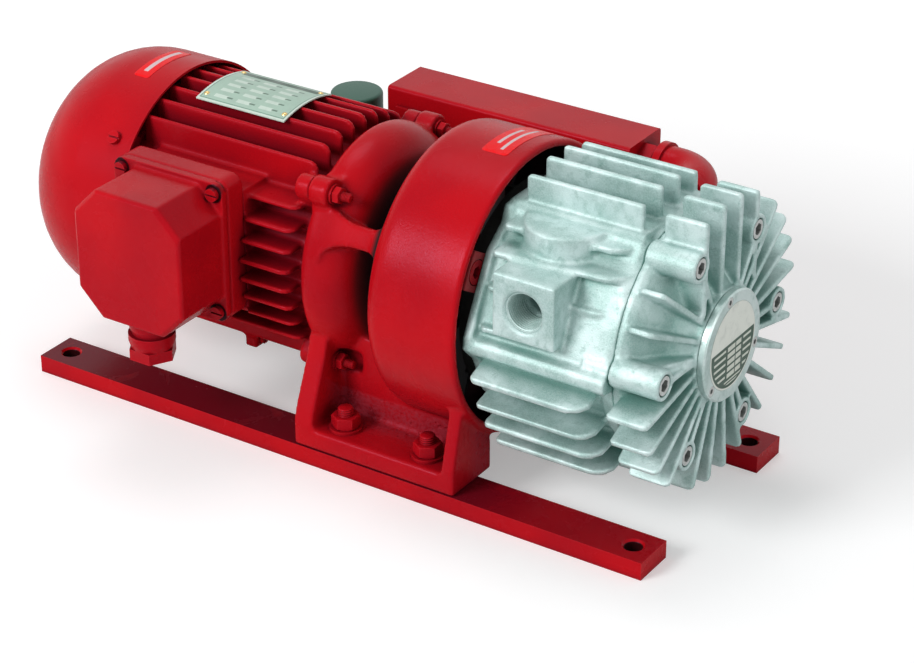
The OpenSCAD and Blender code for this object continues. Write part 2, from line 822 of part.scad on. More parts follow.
// The gland under the hood, closed by a blanking disc
module cable_gland() {
    top = tbox_up - hood_h / 2;
    color(red) on_axis() translate([gland_x, gland_y, top]) difference() {
        union() {
            translate([0, 0, -10]) cylinder(h = 10, r = 14, $fn = 64);
            translate([0, 0, -14]) cylinder(h = 4, r = 12.5, $fn = 64);
            translate([0, 0, -19]) cylinder(h = 5, r = 15, $fn = 64);
            translate([0, 0, -24]) cylinder(h = 5, r1 = 13.5, r2 = 15, $fn = 64);
            translate([0, 0, -31]) cylinder(h = 7.5, d = 27 / cos(30), $fn = 6);
            translate([0, 0, -1]) cylinder(h = 9, r = 9, $fn = 48);
        }
        translate([0, 0, -32]) cylinder(h = 14, r = 8, $fn = 48);
        translate([0, 0, -14]) cylinder(h = 30, r = 6, $fn = 48);
    }
}

// ---------- nameplate ----------

plate_x0 = bell_x - plate_back;
plate_in_r = fin_tip_r + loose + 0.1;
plate_t = 0.8;

module nameplate() {
    color([0.72, 0.8, 0.74]) on_axis() intersection() {
        ring(plate_x0, plate_len, plate_in_r + plate_t, plate_in_r, 160);
        translate([plate_x0, -plate_w / 2, fin_tip_r / 2])
            cube([plate_len, plate_w, fin_tip_r]);
    }
}

module nameplate_rivets() {
    y = fin_pitch * 1.5;
    color(steel) on_axis()
        for (x = [plate_x0 + 4, plate_x0 + plate_len - 4])
            for (s = [-1, 1])
                rotate([s * asin(y / plate_in_r), 0, 0])
                    translate([x, 0, plate_in_r + plate_t]) intersection() {
                        translate([0, 0, -1.2]) sphere(r = 2.2, $fn = 32);
                        cylinder(h = 3, r = 3, $fn = 32);
                    }
}

// ---------- shafts, rotors and bearings ----------

// The grooved path of the balls in a bearing
module ball_groove(b, x) {
    pitch = (b[0] + b[1]) / 2;
    translate([x + b[2] / 2, 0, 0]) rotate([0, 90, 0]) rotate_extrude($fn = 96)
        translate([pitch, 0]) circle(r = ball_r(b) + run, $fn = 32);
}

// Radius of the balls of a bearing
function ball_r(b) = (b[1] - b[0]) * 0.27;

module bearing_outer(b, x) {
    difference() {
        ring(x, b[2], b[1] - 0.01, b[1] - (b[1] - b[0]) * 0.29, 96);
        ball_groove(b, x);
    }
}

module bearing_inner(b, x) {
    difference() {
        ring(x, b[2], b[0] + (b[1] - b[0]) * 0.29, b[0], 96);
        ball_groove(b, x);
    }
}

module bearing_balls(b, x) {
    for (a = [0:45:315])
        rotate([a, 0, 0]) translate([x + b[2] / 2, (b[0] + b[1]) / 2, 0])
            sphere(r = ball_r(b), $fn = 32);
}

module motor_bearing_outer_rings() {
    color(steel) on_axis() for (x = motor_brg_x) bearing_outer(motor_brg, x);
}

module motor_bearing_inner_rings() {
    color(steel) on_axis() for (x = motor_brg_x) bearing_inner(motor_brg, x);
}

module motor_bearing_balls() {
    color(steel) on_axis() for (x = motor_brg_x) bearing_balls(motor_brg, x);
}

module pump_bearing_outer_rings() {
    color(steel) on_axis() for (x = [side_brg_x, outer_brg_x]) bearing_outer(pump_brg, x);
}

module pump_bearing_inner_rings() {
    color(steel) on_axis() for (x = [side_brg_x, outer_brg_x]) bearing_inner(pump_brg, x);
}

module pump_bearing_balls() {
    color(steel) on_axis() for (x = [side_brg_x, outer_brg_x]) bearing_balls(pump_brg, x);
}

rotor_core_x0 = stator_x0 + head_room;
rotor_core_len = stator_len - 2 * head_room;
coupling_r = motor_shaft_r - 0.5;

module motor_shaft() {
    x_end = motor_brg_x[1] + motor_brg[2];
    color(steel) on_axis() {
        rod(motor_fan_x0 - 2, motor_brg_x[0] - motor_fan_x0 + 2.1, coupling_r);
        rod(motor_brg_x[0], x_end - motor_brg_x[0], motor_shaft_r);
        rod(motor_brg_x[0] + motor_brg[2], motor_brg_x[1] - motor_brg_x[0] - motor_brg[2],
            motor_shaft_r + 2);
        rod(x_end - 0.1, motor_shaft_x1 - x_end + 0.1, coupling_r);
    }
}

// The squirrel cage rotor: core, end rings and their fan pegs
module rotor_core() {
    core_r = core_bore_r - 0.4;
    color(dark_steel) on_axis() difference() {
        union() {
            rod(rotor_core_x0, rotor_core_len, core_r, 96);
            rod(rotor_core_x0 - 8, rotor_core_len + 16, core_r - 5, 96);
            for (a = [0:45:315])
                rotate([a, 0, 0]) translate([rotor_core_x0 - 13, core_r - 9, -1.5])
                    cube([rotor_core_len + 26, 4, 3]);
        }
        rod(rotor_core_x0 - 20, rotor_core_len + 40, motor_shaft_r + 2);
    }
}

module motor_fan() {
    color([0.1, 0.1, 0.1]) on_axis() difference() {
        union() {
            rod(motor_fan_x0, 2.5, motor_fan_r - 4, 96);
            rod(motor_fan_x0, motor_fan_w, coupling_r + 7);
            for (a = [0:45:315])
                rotate([a, 0, 0]) translate([motor_fan_x0, coupling_r + 4, -1.2])
                    cube([motor_fan_w, motor_fan_r - coupling_r - 4, 2.4]);
        }
        rod(motor_fan_x0 - 1, motor_fan_w + 2, coupling_r);
    }
}

// A sector of a disc, between two angles
function sector(r, a0, a1) = concat([[0, 0]], arc(0, 0, r, a0, a1, 6));

// A coupling hub: a bored boss with three jaws
module jaw_hub(x0, jaw_x0, turn, bore) {
    difference() {
        union() {
            rod(x0, hub_len, hub_r);
            slab_x(jaw_x0, spider_w + 0.2) for (a = [0, 120, 240])
                polygon(sector(hub_r - 0.6, a + turn - 21, a + turn + 21));
        }
        rod(x0 - 1, hub_len + 2, bore);
        rod(jaw_x0 - 1, spider_w + 2.4, 11);
    }
}

module motor_coupling_hub() {
    color(dark_steel) on_axis()
        jaw_hub(motor_hub_x0, motor_hub_x0 + hub_len - 0.2, 0, coupling_r);
}

module pump_coupling_hub() {
    color(dark_steel) on_axis() jaw_hub(pump_hub_x0, pump_hub_x0 - spider_w, 60, coupling_r);
}

// The rubber star between the jaws
module coupling_spider() {
    gap = 0.4;
    color([0.55, 0.1, 0.08]) on_axis() difference() {
        slab_x(motor_hub_x0 + hub_len + gap, spider_w - 2 * gap) union() {
            circle(r = 10.6, $fn = 48);
            for (a = [30:60:330]) polygon(sector(hub_r - 0.5, a - 7.4, a + 7.4));
        }
        rod(motor_hub_x0 + hub_len, spider_w, 5);
    }
}

// The axial fan that blows over the pump, clamped on the pump's coupling hub
module cooling_fan() {
    blades = 9;
    color([0.12, 0.12, 0.12]) on_axis() difference() {
        intersection() {
            union() {
                rod(fan_x0, fan_w, hub_r + 6, 72);
                for (k = [0:blades - 1])
                    rotate([360 * k / blades, 0, 0])
                        translate([fan_x0 + fan_w / 2, 0, hub_r + 3]) rotate([0, 0, 52])
                            translate([-1.2, -12, 0])
                                cube([2.4, 24, cooling_fan_r]);
            }
            rod(fan_x0, fan_w, cooling_fan_r, 120);
        }
        rod(fan_x0 - 1, fan_w + 2, hub_r);
    }
}

// ---------- pump ----------

module rear_side_plate() {
    seat = pump_brg[1];
    boss_x0 = side_brg_x - seal_w - 1;
    color(dark_red) on_axis() difference() {
        union() {
            rod(side_x0, side_plate_t, cyl_r - 2, 120);
            intersection() {
                for (a = ear_angles())
                    rotate([a, 0, 0]) translate([side_x0, cyl_r - 8, -12])
                        cube([side_plate_t, 30, 24]);
                rod(side_x0, side_plate_t, drum_r - drum_wall - 0.5, 120);
            }
            rod(boss_x0, side_x0 - boss_x0 + 1, seat + 7, 96);
            for (a = [0:45:315])
                rotate([a, 0, 0]) translate([boss_x0 + 4, seat, -2])
                    cube([side_x0 - boss_x0, cyl_r - seat - 6, 4]);
        }
        rod(boss_x0 - 1, side_brg_x + pump_brg[2] - boss_x0 + 1, seat, 96);
        rod(side_x0, side_plate_t + 2, pump_shaft_r + loose);
        for (a = ear_angles())
            rotate([a, 0, 0]) translate([side_x0 - 1, ear_screw_r(), 0]) rotate([0, 90, 0]) {
                cylinder(h = side_plate_t + 2, d = 8 + 2 * run, $fn = 40);
                translate([0, 0, 5]) cylinder(h = side_plate_t, d = 16.5, $fn = 48);
            }
    }
}

module side_plate_screws() {
    color(dark_red) on_axis() for (a = ear_angles())
        rotate([a, 0, 0]) translate([side_x0 + 4, ear_screw_r(), 0]) rotate([0, 90, 0])
            union() {
                difference() {
                    cylinder(h = 8, d = 15, $fn = 48);
                    translate([0, 0, 4]) cylinder(h = 8, d = 7 / cos(30), $fn = 6);
                }
                translate([0, 0, -20]) cylinder(h = 21, d = 8, $fn = 40);
            }
}

module shaft_seal() {
    color([0.1, 0.1, 0.1]) on_axis() difference() {
        ring(side_brg_x - seal_w, seal_w - 0.5, pump_brg[1] - 0.01, pump_brg[0] + run, 96);
        ring(side_brg_x - seal_w - 1, 4, pump_brg[1] - 3, pump_brg[0] + 3, 96);
    }
}

// Points of the cylinder's back flange on the -Y side, from top to bottom
function back_flange_half() = [[-1, cyl_r + 3], [-38, cyl_r + 2], [-42, 62], [-58, 50],
    [-69, 30], [1 - port_face, 3], [-port_face, -5], [-73, -16], [-62, -42], [-38, -66],
    [-1, -cyl_r - 3]];

// Points of the cylinder's body on the -Y side: full at the top and beside the ports
function body_half() = [[-1, cyl_r + 1], [-36, cyl_r + 1], [-42, 60], [-56, 48], [-67, 28],
    [-75, 6], [-75, -8], [-66, -18], [-57, -42], [-36, -61], [-1, -cyl_r]];

// Outline in X and -Y of a fin that reaches to a distance, rounded at its front where
// it has come back by some taper
module fin_outline(x0, x1, root, reach, r_end, taper = 0) {
    front = reach - taper;
    r = min(r_end, front - root - 1);
    polygon(concat([[x0, -root], [x0, 2 - reach], [x0 + 2, -reach]],
        arc(x1 - r, r - front, r, 270, 360, 8), [[x1, -root]]));
}

// A drooping fin under the ledge, from its root to its tip in (Y, Z)
module low_fin(f, x0, x1) {
    run_y = f[0] - f[2];
    drop = f[1] - f[3];
    translate([0, f[0], f[1]]) rotate([atan2(drop, run_y), 0, 0])
        translate([0, 0, -pump_fin_t / 2]) linear_extrude(pump_fin_t)
            fin_outline(x0, x1, -14, norm([run_y, drop]), 13);
}

// An upright plate over the pump, at a distance from the middle plane
module upright_plate(y, x0, x1, tip_r, root) {
    tip = sqrt(tip_r * tip_r - y * y);
    r = 2.5;
    translate([0, y + pump_fin_t / 2, 0]) rotate([90, 0, 0]) linear_extrude(pump_fin_t)
        polygon(concat([[x0, root], [x1, root]], arc(x1 - r, tip - r, r, 0, 90, 3),
            arc(x0 + r, tip - r, r, 90, 180, 3)));
}

// What the cylinder casting carries on each side: port, valve boss, ledge and fins
module cylinder_side() {
    half = port_w / 2;
    ledge = port_face - 1;
    translate([port_x - half - 1, -port_face, port_up - half + 0.5])
        cube([port_w + 2, port_face - 50, port_w + 1]);
    translate([port_x, valve_boss_r - valve_reach, 0])
        cylinder(h = cyl_r + 1, r = valve_boss_r, $fn = 72);
    slab_x(cyl_x0, cyl_len) polygon([[-62, 8], [2 - ledge, 2], [-ledge, -1], [-ledge, -6],
        [3 - ledge, -9], [-62, -11]]);
    for (f = side_fins)
        translate([0, 0, f[0] - pump_fin_t / 2]) linear_extrude(pump_fin_t)
            fin_outline(cyl_x0 + 9, f[2], 20, f[1], 16, 6);
    for (f = low_fins) low_fin(f, cyl_x0 + 10, cyl_x1 - 7);
}

// A port's bore on the -Y side: the duct from inside, the thread and its wide mouth
module port_bore(r) {
    mouth = 2;
    duct_r = r - 2.5;
    translate([port_x, 0, port_up]) rotate([90, 0, 0]) {
        translate([0, 0, 30]) cylinder(h = port_face - 30 - mouth, r = duct_r, $fn = 64);
        translate([0, 0, port_face - port_depth]) cylinder(h = port_depth + 1, r = r, $fn = 64);
        translate([0, 0, port_face - mouth]) cylinder(h = mouth + 1, r1 = r, r2 = r + 3,
            $fn = 64);
    }
}

module pump_cylinder() {
    joint_r = cyl_r + 2.5;
    color(silver) on_axis() difference() {
        union() {
            rod(cyl_x0, cyl_len, cyl_r, 120);
            rod(cyl_x1 - 8, 8, joint_r, 120);
            both_sides() slab_x(cyl_x0, 6) polygon(concat(back_flange_half(), [[0, 0]]));
            both_sides() slab_x(cyl_x0, cyl_len - 3) polygon(concat(body_half(), [[0, 0]]));
            both_sides() cylinder_side();
            at_cover_screws(cyl_x1 - 18) cylinder(h = 18, r = cover_screw_d * 0.9, $fn = 48);
            translate([cyl_x0, plate_y[0] - 5, 30])
                cube([cyl_len - 4, plate_y[3] - plate_y[0] + 10, cyl_r - 27]);
            for (y = plate_y) {
                upright_plate(y, cyl_x0 + 10, cyl_x1 - 7, pump_fin_r, 50);
                mirror([0, 0, 1])
                    upright_plate(y * 0.8, cyl_x0 + 10, cyl_x1 - 7, pump_fin_r, 50);
            }
        }
        translate([0, 0, -ecc]) rod(cyl_x0 - 1, cyl_len + 2, bore_r, 160);
        port_bore(port_r);
        mirror([0, 1, 0]) port_bore(outlet_r);
        at_cover_screws(cyl_x1 - 15) cylinder(h = 16, d = cover_screw_d + 2 * run, $fn = 32);
    }
}

// Puts children at the screws of the end cover, with their Z along the shaft
module at_cover_screws(x) {
    for (a = cover_screw_angles)
        rotate([a, 0, 0]) translate([x, cover_screw_r, 0]) rotate([0, 90, 0]) children();
}

// One radial fin of the end cover, standing along +Y up to a tip radius
module cover_fin(tip, x1) {
    x0 = cyl_x1 + 6;
    t = pump_fin_t * 0.9;
    translate([0, 0, -t / 2]) linear_extrude(t)
        polygon(concat([[x0, 30], [x0, tip - 3]], arc(x0 + 3, tip - 3, 3, 180, 90, 3),
            arc(x1 - 4, tip - 4, 4, 90, 0, 4), [[cover_x1, cap_r + 4], [cover_x1, 30]]));
}

// The cover's dome without its fins
module cover_dome() {
    rim = cyl_r + 2.5;
    top = cover_x1 + 1;
    lathe([[0, cyl_x1], [rim, cyl_x1], [rim, cyl_x1 + 4], [cyl_r, cyl_x1 + 7],
        [cyl_r - 8, cyl_x1 + 12], [cap_r + 12, cyl_x1 + 20], [cap_r + 3, cover_x1 - 6],
        [cap_r, cover_x1 - 4], [cap_r, top], [0, top]], 120);
}

module end_cover() {
    seat = pump_brg[1];
    boss_r = cover_screw_d + 1.5;
    color(silver) on_axis() difference() {
        union() {
            cover_dome();
            for (c = cover_fin_groups)
                for (k = [-1.5:1:1.5])
                    rotate([c + k * cover_fin_step, 0, 0]) cover_fin(pump_fin_r - 2, cover_x1);
            for (a = cover_rib_angles) rotate([a, 0, 0]) cover_fin(cyl_r + 6, cover_x1 - 10);
            for (a = cover_screw_angles) rotate([a, 0, 0]) cover_fin(cover_screw_r, cover_x1);
            for (y = plate_y)
                upright_plate(y + 1, cyl_x1 + 6, cover_x1, pump_fin_r - 2, 28);
            at_cover_screws(cyl_x1 + 1) cylinder(h = cover_len - 1, r = boss_r, $fn = 48);
        }
        rod(cyl_x1 - 1, cover_len, pump_shaft_r + loose);
        rod(outer_brg_x, cover_len, seat, 96);
        at_cover_screws(cyl_x1 - 1) {
            cylinder(h = cover_len + 2, d = cover_screw_d + 2 * run, $fn = 32);
            translate([0, 0, cover_len - 8]) cylinder(h = 12, d = 13.6, $fn = 48);
        }
        at_cap_screws(cover_x1 - 8) cylinder(h = 12, d = 4 + 2 * run, $fn = 32);
    }
}

// Puts children at the small screws round the cap, with their Z along the shaft
module at_cap_screws(x) {
    for (a = [100, 220, 340])
        rotate([a, 0, 0]) translate([x, cap_r - 4, 0]) rotate([0, 90, 0]) children();
}

module cover_screws() {
    seat = 9;
    color(steel) on_axis() at_cover_screws(cover_x1 - seat)
        socket_screw(cover_screw_d, cover_len - seat + 12);
}

module bearing_cap() {
    x0 = cover_x1 + 1;
    color(silver) on_axis() difference() {
        lathe([[0, x0], [cap_r, x0], [cap_r, x0 + cap_t - 1], [cap_r - 1, x0 + cap_t],
            [0, x0 + cap_t]], 96);
        rod(x0 + cap_t - 1, 3, cap_plate_r + run, 96);
        at_cap_screws(x0 - 1) {
            cylinder(h = cap_t + 2, d = 4 + 2 * run, $fn = 32);
            translate([0, 0, 3]) cylinder(h = 6, d = 6.6, $fn = 32);
        }
    }
}

module bearing_cap_screws() {
    color(steel) on_axis() at_cap_screws(cover_x1 + 3) difference() {
        union() {
            cylinder(h = 2.4, d = 6.4, $fn = 32);
            translate([0, 0, -8]) cylinder(h = 9, d = 4, $fn = 32);
        }
        translate([0, 0, 1]) cylinder(h = 3, d = 3.4, $fn = 6);
    }
}

module cap_plate() {
    color([0.75, 0.8, 0.76]) on_axis() rod(cover_x1 + cap_t, 1.2, cap_plate_r, 96);
}

// The pump shaft: coupling seat, bearing seats and the thick part in the rotor
module pump_shaft() {
    x1 = outer_brg_x + pump_brg[2];
    color(steel) on_axis() {
        rod(pump_hub_x0 + 0.5, side_brg_x - seal_w - pump_hub_x0, coupling_r);
        rod(side_brg_x - seal_w, x1 - side_brg_x + seal_w + 1.5, pump_brg[0]);
        rod(side_brg_x + pump_brg[2], outer_brg_x - side_brg_x - pump_brg[2], pump_shaft_r);
    }
}

// Angles of the vanes about the shaft at rest
function vane_angle(i) = 26 + 90 * i;

// A vane's box: its slot side, made wider by g and deeper by d
module vane_box(i, g, d) {
    gap = 0.1;
    rotate([vane_angle(i), 0, 0])
        translate([cyl_x0 + gap - g, slot_top - vane_h - d, slot_offset - vane_t / 2 - g])
            cube([cyl_len - 2 * gap + 2 * g, vane_h + d + 8, vane_t + 2 * g]);
}

module pump_rotor() {
    gap = 0.1;
    color(dark_steel) on_axis() difference() {
        rod(cyl_x0 + gap, cyl_len - 2 * gap, rotor_r, 160);
        rod(cyl_x0 - 1, cyl_len + 2, pump_shaft_r);
        for (i = [0:vane_count - 1]) vane_box(i, run, slot_h - vane_h);
    }
}

// One carbon vane, drawn back flush with the rotor
module vane(i) {
    color([0.18, 0.18, 0.19]) on_axis() intersection() {
        vane_box(i, 0, 0);
        rod(cyl_x0, cyl_len, rotor_r - run, 160);
    }
}

module vane_1() {
    if (vane_count > 0) vane(0);
}

module vane_2() {
    if (vane_count > 1) vane(1);
}

module vane_3() {
    if (vane_count > 2) vane(2);
}

module vane_4() {
    if (vane_count > 3) vane(3);
}

// ---------- silencer ----------

pipe_z = port_up;
thread = 11;

// Elbows as [bend radius, length of the mouths, outer radius, bore radius]
discharge_bend = [elbow_bend, 12, elbow_r - 2, outlet_r];
filter_bend = [14, 8, 13, 10];
filter_x = box_x0 - 18 - elbow_arm(filter_bend);
filter_pipe_z = -13;

module silencer_box() {
    inner = [box_w - 2 * box_wall, box_h - 2 * box_wall];
    color(red) on_axis() translate([0, box_mid_y, box_top - box_h / 2]) difference() {
        slab_x(box_x0, box_l) polygon(round_rect(box_w, box_h, box_edge_r));
        slab_x(box_x0 + box_wall, box_l - 2 * box_wall)
            polygon(round_rect(inner[0], inner[1], box_edge_r / 2));
        translate([0, 0, pipe_z - box_top + box_h / 2])
            rod(box_x1 - box_wall - 1, box_wall + 2, outlet_r);
        translate([0, 0, filter_pipe_z - box_top + box_h / 2])
            rod(box_x0 - 1, box_wall + 2, filter_bend[3]);
        translate([0, -box_mid_y, box_h / 2 - box_top - axis_z])
            at_strap_box(-1) cylinder(h = strap_t + box_wall + 2, d = strap_screw_d + 2 * run,
                $fn = 32);
    }
}

// A bent strap from the rear rail up to the near side of the silencer box
module silencer_bracket() {
    near = box_side - strap_t;
    foot_y0 = rail_y - 12;
    top_z = axis_z + box_top - 12;
    color(red) difference() {
        translate([strap_x, 0, 0]) union() {
            translate([0, foot_y0, rail_t]) cube([strap_w, box_side - foot_y0, strap_t]);
            translate([0, near, rail_t]) cube([strap_w, strap_t, top_z - rail_t]);
            for (x = [0, strap_w - strap_t])
                translate([x, near + 1, rail_t + 1]) rotate([90, 0, 90])
                    linear_extrude(strap_t) polygon([[0, 0], [0, 34], [-24, 0]]);
        }
        at_strap_rail(0) cylinder(h = 2 * rail_t, d = strap_screw_d + 0.6, $fn = 32);
        at_strap_box(-1) cylinder(h = 2 * strap_t, d = strap_screw_d + 0.6, $fn = 32);
    }
}

// Puts children at the two screws of the strap's foot
module at_strap_rail(z) {
    for (x = [8, strap_w - 8]) translate([strap_x + x, rail_y, z]) children();
}

// Puts children at the two screws into the box, with their Z towards +Y
module at_strap_box(y) {
    for (z = [box_top - 22, box_top - 62])
        translate([strap_x + strap_w / 2, box_side - strap_t + y, axis_z + z])
            rotate([-90, 0, 0]) children();
}

// A hexagon screw: head below Z = 0, shank above
module hex_screw(d, shank) {
    translate([0, 0, -0.65 * d]) cylinder(h = 0.65 * d, d = 1.67 * d / cos(30), $fn = 6);
    translate([0, 0, -0.1]) cylinder(h = shank, d = d, $fn = 32);
}

module bracket_screws() {
    color(red) {
        at_strap_rail(rail_t + strap_t) rotate([180, 0, 0])
            hex_screw(strap_screw_d, 12);
        at_strap_box(0) hex_screw(strap_screw_d, 8);
    }
}

// Hexagon nipples: box to elbow, elbow to port, box to filter elbow, elbow to filter
module silencer_nipples() {
    arm = elbow_arm(discharge_bend);
    color(red) on_axis() translate([0, 0, pipe_z]) {
        translate([box_x1 - 6, box_mid_y, 0]) rotate([0, 90, 0])
            nipple(outlet_r, port_x - arm - box_x1 + 6 + thread, 6);
        translate([port_x, box_mid_y - arm + thread, 0]) rotate([90, 0, 0])
            nipple(outlet_r, box_mid_y - arm - port_face + 2 * thread, thread);
        translate([box_x0 + 6, box_mid_y, filter_pipe_z - pipe_z]) rotate([0, -90, 0])
            nipple(filter_bend[3], 6 + 18 + filter_bend[1] - 1, 6);
    }
}

// A nipple along Z, threaded at both ends, with its hexagon from h0
module nipple(r, len, h0) {
    difference() {
        union() {
            cylinder(h = len, r = r - run, $fn = 64);
            translate([0, 0, h0]) cylinder(h = 9, d = 2.4 * r, $fn = 6);
        }
        translate([0, 0, -1]) cylinder(h = len + 2, r = r - 3.5, $fn = 48);
    }
}

// Distance from an elbow's corner to its face
function elbow_arm(b) = b[0] + b[1];

// The curved part of an elbow
module elbow_curve(b, r) {
    translate([-b[0], -b[0], 0]) rotate_extrude(angle = 90, $fn = 96)
        translate([b[0], 0]) circle(r = r, $fn = 48);
}

// One mouth of an elbow, along -X, drawn some way past its face
module elbow_mouth(b, r, bead, past = 0) {
    translate([-elbow_arm(b) - past, 0, 0]) rotate([0, 90, 0]) {
        cylinder(h = b[1] + past + 0.05, r = r, $fn = 64);
        cylinder(h = 5, r = r + bead, $fn = 64);
    }
}

// A cast elbow between -X and -Y about its corner, with a bead at each mouth
module pipe_elbow(b) {
    difference() {
        union() {
            elbow_curve(b, b[2]);
            elbow_mouth(b, b[2], 2);
            mirror([1, -1, 0]) elbow_mouth(b, b[2], 2);
        }
        elbow_curve(b, b[3] - 2);
        elbow_mouth(b, b[3], 0, 1);
        mirror([1, -1, 0]) elbow_mouth(b, b[3], 0, 1);
    }
}

module discharge_elbow() {
    color(red) on_axis() translate([port_x, box_mid_y, pipe_z]) pipe_elbow(discharge_bend);
}

// The elbow from the silencer box up to the exhaust filter
module filter_elbow() {
    color(red) on_axis() translate([filter_x, box_mid_y, filter_pipe_z])
        rotate([90, 0, 180]) mirror([0, 1, 0]) pipe_elbow(filter_bend);
}

// A canister with a rounded lid, on a spigot that screws into its elbow
module exhaust_filter() {
    r = filter_d / 2;
    seat = elbow_arm(filter_bend);
    edge = 2.5;
    color([0.42, 0.52, 0.47]) on_axis() translate([filter_x, box_mid_y, filter_pipe_z])
        rotate_extrude($fn = 96) polygon(concat(
            [[0, seat - 7], [filter_bend[3] - run, seat - 7], [filter_bend[3] - run, seat],
             [r - 1, seat], [r, seat + 1]],
            arc(r - edge, seat + filter_h - edge, edge, 0, 90, 5), [[0, seat + filter_h]]));
}

front_rail();
rear_rail();
bell_housing();
foot_studs();
foot_nuts();
foot_washers();
flange_studs();
flange_nuts();
flange_washers();
stator_housing();
stator_core();
stator_windings();
motor_end_shield();
fan_cowl();
cowl_screws();
terminal_box();
terminal_gasket();
terminal_cover();
terminal_cover_screws();
terminal_block();
terminal_studs();
cable_gland();
nameplate();
nameplate_rivets();
earth_screw();
motor_shaft();
rotor_core();
motor_fan();
motor_bearing_outer_rings();
motor_bearing_inner_rings();
motor_bearing_balls();
motor_coupling_hub();
coupling_spider();
pump_coupling_hub();
cooling_fan();
rear_side_plate();
side_plate_screws();
shaft_seal();
pump_cylinder();
end_cover();
cover_screws();
pump_shaft();
pump_rotor();
vane_1();
vane_2();
vane_3();
vane_4();
pump_bearing_outer_rings();
pump_bearing_inner_rings();
pump_bearing_balls();
bearing_cap();
bearing_cap_screws();
cap_plate();
silencer_box();
silencer_bracket();
bracket_screws();
silencer_nipples();
discharge_elbow();
filter_elbow();
exhaust_filter();
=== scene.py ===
# %% [markdown]
# # A rotary vane vacuum pump
#
# The machine is an electric motor, a bell housing with a fan in it, a finned
# pump and a silencer box, all on two base rails. The solids come from the CAD
# frame. This lesson gives them cast edges, paint, bare aluminium and the small
# parts that a solid model leaves plain, such as threads and plates.

# %% Load the frame
import json
import math

import bpy
import numpy as np
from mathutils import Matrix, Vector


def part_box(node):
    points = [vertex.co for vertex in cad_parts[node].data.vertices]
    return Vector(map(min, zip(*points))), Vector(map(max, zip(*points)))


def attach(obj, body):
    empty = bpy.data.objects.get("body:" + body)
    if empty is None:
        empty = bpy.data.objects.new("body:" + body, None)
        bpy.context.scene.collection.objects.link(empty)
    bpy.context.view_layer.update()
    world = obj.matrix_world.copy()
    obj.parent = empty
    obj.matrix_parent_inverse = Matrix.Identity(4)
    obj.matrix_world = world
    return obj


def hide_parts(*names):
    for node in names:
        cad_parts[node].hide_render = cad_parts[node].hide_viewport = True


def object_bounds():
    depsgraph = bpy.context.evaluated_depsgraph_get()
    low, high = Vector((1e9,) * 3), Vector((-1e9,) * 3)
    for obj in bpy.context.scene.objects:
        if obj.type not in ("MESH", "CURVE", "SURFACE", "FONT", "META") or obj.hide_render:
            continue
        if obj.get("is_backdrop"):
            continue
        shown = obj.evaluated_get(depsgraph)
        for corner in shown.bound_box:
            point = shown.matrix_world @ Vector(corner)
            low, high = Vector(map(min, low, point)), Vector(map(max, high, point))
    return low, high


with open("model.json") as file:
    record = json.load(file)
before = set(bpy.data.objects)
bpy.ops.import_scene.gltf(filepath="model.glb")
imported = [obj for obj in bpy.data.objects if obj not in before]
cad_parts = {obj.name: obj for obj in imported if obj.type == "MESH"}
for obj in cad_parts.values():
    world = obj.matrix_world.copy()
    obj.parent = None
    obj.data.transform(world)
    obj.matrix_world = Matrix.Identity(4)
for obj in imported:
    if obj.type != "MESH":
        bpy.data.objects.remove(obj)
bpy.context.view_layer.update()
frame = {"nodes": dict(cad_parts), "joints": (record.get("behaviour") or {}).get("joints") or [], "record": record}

nodes = frame["nodes"]
mounts = {mount["name"]: mount for mount in frame["record"]["mounts"]}
joints = {joint["name"]: joint for joint in frame["joints"]}
MM = 0.001
AXIS_Z = joints["spindle_turn"]["pos_m"][2]
print("nodes in the frame:", len(nodes), "- shaft height:", AXIS_Z)

# %% [markdown]
# ## The camera
#
# A long lens from the front, above the pump end, keeps the parallel edges of
# the rails nearly parallel, as a catalogue picture of a machine does. The
# camera comes first, because everything that is made later is judged from it.

# %% Camera
SENSOR_MM = 36
FOCAL_IN_WIDTHS = 2737.9 / 914
CAMERA_PLACE = (0.8767, -1.2694, 0.8901)
CAMERA_TILT = math.radians(61.67)
CAMERA_TURN = math.radians(33.27)


def in_scene(name, data):
    """A new object with the data given, linked into the scene."""
    thing = bpy.data.objects.new(name, data)
    bpy.context.scene.collection.objects.link(thing)
    return thing


def catalogue_camera():
    """A camera whose lens is given by its focal length over the picture's width."""
    lens = bpy.data.cameras.new("catalogue_camera")
    lens.sensor_fit = "HORIZONTAL"
    lens.sensor_width = SENSOR_MM
    lens.lens = SENSOR_MM * FOCAL_IN_WIDTHS
    lens.clip_start = 0.1
    lens.clip_end = 50
    camera = in_scene("catalogue_camera", lens)
    camera.location = CAMERA_PLACE
    camera.rotation_euler = (CAMERA_TILT, 0, CAMERA_TURN)
    bpy.context.scene.camera = camera
    return camera


camera = catalogue_camera()
print("lens:", round(camera.data.lens, 1), "mm")

# %% [markdown]
# ## Joining nodes in words
#
# A material is a drawing of boxes and wires. Small helpers keep that readable
# in a script: one adds a box and feeds its sockets, some do a step of
# arithmetic, one tints a colour, and two make and place a group, which is a
# drawing that several materials can share.

# %% Node helpers


def feed(socket, value):
    """Wires a socket to another node's output, or sets it to a number or a colour."""
    if isinstance(value, bpy.types.NodeSocket):
        socket.id_data.links.new(value, socket)
    else:
        socket.default_value = value


def add(tree, kind, sockets=None, **settings):
    """Adds a node with its settings and feeds its sockets."""
    node = tree.nodes.new(kind)
    for name, value in settings.items():
        setattr(node, name, value)
    for name, value in (sockets or {}).items():
        feed(node.inputs[name], value)
    return node


def maths(operation, a, b=0.0, clamp=False):
    """One arithmetic step between two values, in the drawing that one of them comes from."""
    tree = (a if isinstance(a, bpy.types.NodeSocket) else b).id_data
    return add(tree, "ShaderNodeMath", {0: a, 1: b}, operation=operation,
        use_clamp=clamp).outputs[0]


